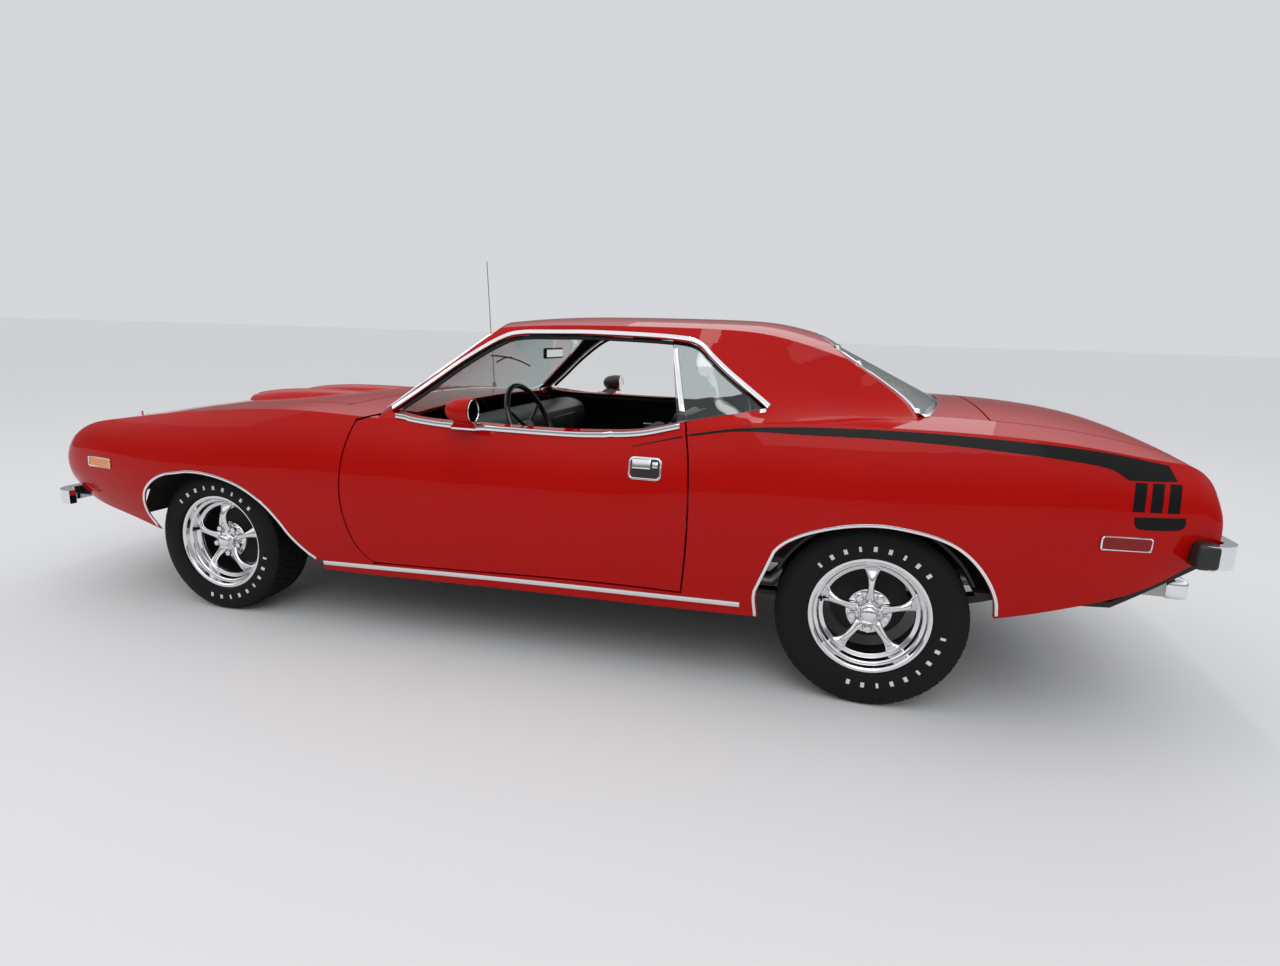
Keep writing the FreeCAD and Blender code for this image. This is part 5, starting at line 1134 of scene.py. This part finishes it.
# %% [markdown]
# The wipers rest on the foot of the windscreen, each a blade laid on the glass by rays from above, and an
# arm from its pivot on the cowl. The hood is held by two pins, each on a small plate and locked by a bent
# clip.

# %% Wipers and hood pins
DOWN = (0, 0, -1)
wiper_parts = []
for pivot_y, tip_low, tip_high in ((-0.46, -0.62, -0.14), (0.16, 0.02, 0.50)):
    line = [Vector((-0.545, tip_low + (tip_high - tip_low) * i / 12, 1.6)) for i in range(13)]
    blade = [touch(point, ["windscreen", "cowl_panel"], 0.007, DOWN) for point in line]
    blade = [p for p in blade if p]
    wiper_parts.append(rod(blade, 0.0045, 2))
    pivot = touch(Vector((-0.585, pivot_y, 1.6)), ["cowl_panel", "windscreen"], 0.004, DOWN)
    elbow = (pivot + blade[6]) / 2 + Vector((0, 0, 0.012))
    wiper_parts.append(rod([pivot, elbow, blade[6] + Vector((0, 0, 0.006))], 0.0045, 2))
join(wiper_parts)
finish_piece("wipers", black_plastic, "body")

foot = touch(Vector((-2.13, -0.56, 1.6)), ["hood", "nose_panel"], 0.0, DOWN)
clip = [foot + Vector(step) for step in ((-0.020, -0.006, 0.016), (0.0, 0.0, 0.016), (0.024, 0.008, 0.016))]
join([block(foot - Vector((0.022, 0.018, 0.001)), foot + Vector((0.022, 0.018, 0.004)), 0.002, 2),
      rod([foot, foot + Vector((0, 0, 0.028))], 0.006), rod(clip, 0.0022, 2)])
to_other_side(finish_piece("hood_pin_left", chrome, "hood"))
print("hood pin at", [round(c, 3) for c in foot])

# %% [markdown]
# The exhaust tips are flat rounded boxes. An inset and an extrusion inwards would do for a box with sharp
# edges. Here a second, smaller box is cut out of the first with a Boolean, which leaves a thin wall of even
# thickness with an open end. A black block stands at each end of the rear bumper.

# %% Exhaust tips and black blocks at the bumper's ends
TIP_LOW, TIP_HIGH, TIP_WALL = Vector((2.262, -0.658, 0.438)), Vector((2.338, -0.532, 0.510)), 0.0065
inward = Vector((-0.01, TIP_WALL, TIP_WALL))
tip = block(TIP_LOW, TIP_HIGH, 0.020, 5)
hollow = block(TIP_LOW + inward, TIP_HIGH - inward, 0.015, 5)
only(tip)
modifier("BOOLEAN", operation="DIFFERENCE", object=hollow)
bpy.data.objects.remove(hollow)
to_other_side(finish_piece("exhaust_tip_left", chrome, "body"))
# A black block at the end of the rear bumper, darker than the chrome beside it.
block((2.238, -0.8995, 0.6105), (2.303, -0.800, 0.6925), 0.016, 4)
to_other_side(finish_piece("rear_bumper_pad_left", black_plastic, "body"))
print("exhaust tip and bumper pad on both sides")

# %% [markdown]
# The windscreen's moulding is a rod along the edge of the glass that shows. The border of the glass itself
# runs hidden under the panels, so the line is searched with pairs of rays from above, one at everything and
# one at the glass alone. While both meet the same point, the glass is on top, and where they differ, a
# panel covers it.


# %% Windscreen moulding
def windscreen_edge(count=44):
    """Left half of the line where the panels around the windscreen meet its glass, seen from above."""
    around = ["roof_panel", "cowl_panel", "fender_left", "door_left"]
    centre = Vector((-0.32, 0, 1.8))
    points = []
    for i in range(count):
        angle = math.pi + 0.012 + (math.pi - 0.024) * i / (count - 1)
        way = Vector((math.cos(angle), math.sin(angle), 0))
        low, high = 0.02, 1.1
        for _ in range(14):
            middle = (low + high) / 2
            first = touch(centre + way * middle, ["windscreen", *around], 0.0, DOWN)
            glass = touch(centre + way * middle, ["windscreen"], 0.0, DOWN)
            if first and glass and (first - glass).length < 0.0005:
                low = middle
            else:
                high = middle
        points.append(touch(centre + way * (high + 0.004), around, 0.001, DOWN))
    return [point for point in points if point]


half = windscreen_edge()
join([rod(half, 0.006), rod([Vector((p.x, -p.y, p.z)) for p in half], 0.006)])
finish_piece("windscreen_moulding", chrome, "body")
print("windscreen moulding:", len(half), "points a side")

# %% [markdown]
# The rear window's moulding is broad, because it covers the joint between the roof and the quarters as
# well. Its outline is drawn from above. Three lines run along it: the outer two lie on the body and the
# inner one on the glass. Bridged and thickened, they make one bright band that steps down from the body to
# the glass.


# %% Rear window moulding
def window_row(line, middle, distance, names, lift):
    """The closed line moved outward and laid on nodes from above. A miss takes its neighbour's height."""
    row = []
    for i, point in enumerate(line):
        way = line[(i + 1) % len(line)] - line[i - 1]
        outward = Vector((-way.y, way.x, 0)).normalized()
        if outward.dot(point - middle) < 0:
            outward = -outward
        above = point + outward * distance
        hit, pane = (touch(above, wanted, lift, DOWN) for wanted in (names, ["rear_window"]))
        row.append((above, None if hit is None or (pane and hit.z < pane.z - 0.002) else hit))
    known = [i for i, (_, hit) in enumerate(row) if hit]
    nearest = [row[min(known, key=lambda k: abs(k - i))][1].z for i in range(len(row))]
    return [hit or Vector((above.x, above.y, z)) for (above, hit), z in zip(row, nearest)]


REAR_WINDOW = [(1.066, 0.0), (1.073, -0.10), (1.088, -0.20), (1.110, -0.29), (1.128, -0.375),
               (1.146, -0.440), (1.188, -0.488), (1.250, -0.532), (1.322, -0.560), (1.366, -0.580),
               (1.400, -0.612), (1.428, -0.660), (1.446, -0.650), (1.462, -0.580), (1.483, -0.490),
               (1.502, -0.405), (1.523, -0.285), (1.536, -0.150), (1.540, 0.0)]
half = smooth_line([(x, y, 1.8) for x, y in REAR_WINDOW], 73)
whole = half + [Vector((p.x, -p.y, p.z)) for p in half[-2:0:-1]]
panels = ["roof_panel", "side_panel_left", "side_panel_right", "rear_deck"]
bands = ((0.018, panels, 0.001), (0.003, panels, 0.003), (-0.010, ["rear_window"], 0.001))
bridge(*(window_row(whole, Vector((1.30, 0, 1.8)), *band) for band in bands), closed=True)
thicken(0.003, (0, 0, 1))
finish_piece("rear_window_moulding", chrome, "body")
print("rear window moulding:", len(whole), "points")

# %% [markdown]
# The tail lamps get a rounded frame and three bars over the lens. Two straps hold the fuel tank. A curved
# sheet over each front wheel closes the view from the wheel opening into the engine bay.


# %% Tail lamp frames, tank straps and wheelhouse liners
def lamp_frame(name, x, low, high, corner, radius):
    """A rounded frame about a lamp in the tail, and three bars over its lens."""
    parts = [rod([(x, y, z) for y, z in rounded_outline(low, high, corner)], radius, closed=True)]
    for y in (low[0] + (high[0] - low[0]) * i / 4 for i in (1, 2, 3)):
        parts.append(rod([(x, y, low[1]), (x, y, high[1])], radius * 0.6, 2))
    join(parts)
    return finish_piece(name, chrome, "body")


to_other_side(lamp_frame("tail_lamp_frame_left", 2.3275, (-0.701, 0.696), (-0.329, 0.790), 0.008, 0.0045))
tank_low, tank_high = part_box("fuel_tank")
join([block((tank_low[0] - 0.002, y - 0.014, tank_low[2] - 0.002),
            (tank_high[0] + 0.002, y + 0.014, tank_high[2] - 0.004), 0.002, 2) for y in (-0.16, 0.16)])
finish_piece("tank_straps", undercoat, "body")

WHEELHOUSE, LINER = Vector((-1.430, 0, 0.320)), 0.405
turns = [math.radians(6 + i * 9) for i in range(19)]
arc = [WHEELHOUSE + Vector((math.cos(turn), 0, math.sin(turn))) * LINER for turn in turns]
bridge([p + Vector((0, -0.452, 0)) for p in arc], [p + Vector((0, -0.862, 0)) for p in arc], cuts=3)
thicken(0.003, (0, 0, -1), 0.0)
to_other_side(finish_piece("front_wheelhouse_left", undercoat, "body"))

# %% [markdown]
# ## Floor, lamps and world
# A plain pale floor and four soft lamps, as in a studio. A lamp's size sets how soft its shadow is, so the
# lamps are metres wide. The narrow one above gives the upper surfaces a small, crisp highlight.


# %% Floor and lamps
def make_floor():
    """A floor that is large enough to reach the horizon of every view."""
    begin()
    bpy.ops.mesh.primitive_plane_add(size=600, location=(0, 0, 0))
    floor = bpy.context.object
    floor.name = "floor"
    paving = new_material("pale_floor", (0.70, 0.70, 0.70), 0.6, Specular_IOR_Level=0.2)
    vary(paving, pattern(paving, NOISE, 0.4, Detail=3.0), "Roughness", 0.5, 0.62)
    floor.data.materials.append(paving)


def lamp(name, place, aim, size, power, length=None):
    """A soft rectangular lamp that looks from its place at a point."""
    data = bpy.data.lights.new(name, "AREA")
    data.energy = power
    data.size = size
    if length:
        data.shape = "RECTANGLE"
        data.size_y = length
    light = bpy.data.objects.new(name, data)
    bpy.context.scene.collection.objects.link(light)
    light.location = place
    light.rotation_mode = "QUATERNION"
    light.rotation_quaternion = (Vector(aim) - Vector(place)).to_track_quat("-Z", "Y")


make_floor()
lamp("key", (2.0, -7.0, 7.5), (0, 0, 0.5), 6.0, 160)
lamp("fill", (-7.0, -3.0, 6.0), (0, 0, 0.6), 5.0, 40)
lamp("back", (0.5, 7.0, 6.0), (0, 0, 0.8), 6.0, 60)
lamp("top", (0.2, -0.6, 6.5), (0.2, -0.3, 0), 0.35, 30, 3.6)

# %% [markdown]
# The world is the light from all round. Its strength rises from the horizon upwards, which gives the paint
# and the chrome their dark lower reflections. A dark panel beside the car could do that too, but it would
# show in some views. The camera, and what is seen through glass, meets an even pale backdrop instead.


# %% World
def make_world():
    """Light that darkens towards the horizon, and an even backdrop for the camera and through glass."""
    world = bpy.data.worlds.new("studio")
    bpy.context.scene.world = world
    world.use_nodes = True
    tree = world.node_tree
    background = tree.nodes["Background"]
    background.inputs["Color"].default_value = (0.90, 0.92, 0.95, 1)
    path = tree.nodes.new("ShaderNodeLightPath")
    seen = tree.nodes.new("ShaderNodeMath")
    seen.operation = "MAXIMUM"
    strength = tree.nodes.new("ShaderNodeMapRange")
    strength.inputs["To Max"].default_value = 0.74
    sky = tree.nodes.new("ShaderNodeMapRange")
    sky.interpolation_type = "SMOOTHSTEP"
    for socket, value in (("From Min", 0.07), ("From Max", 0.50), ("To Min", 0.22), ("To Max", 1.05)):
        sky.inputs[socket].default_value = value
    place = tree.nodes.new("ShaderNodeTexCoord")
    height = tree.nodes.new("ShaderNodeSeparateXYZ")
    tree.links.new(place.outputs["Generated"], height.inputs[0])
    tree.links.new(height.outputs["Z"], sky.inputs["Value"])
    tree.links.new(sky.outputs["Result"], strength.inputs["To Min"])
    tree.links.new(path.outputs["Is Camera Ray"], seen.inputs[0])
    tree.links.new(path.outputs["Is Transmission Ray"], seen.inputs[1])
    tree.links.new(seen.outputs[0], strength.inputs["Value"])
    tree.links.new(strength.outputs["Result"], background.inputs["Strength"])


make_world()
bpy.context.scene.view_settings.view_transform = "Standard"
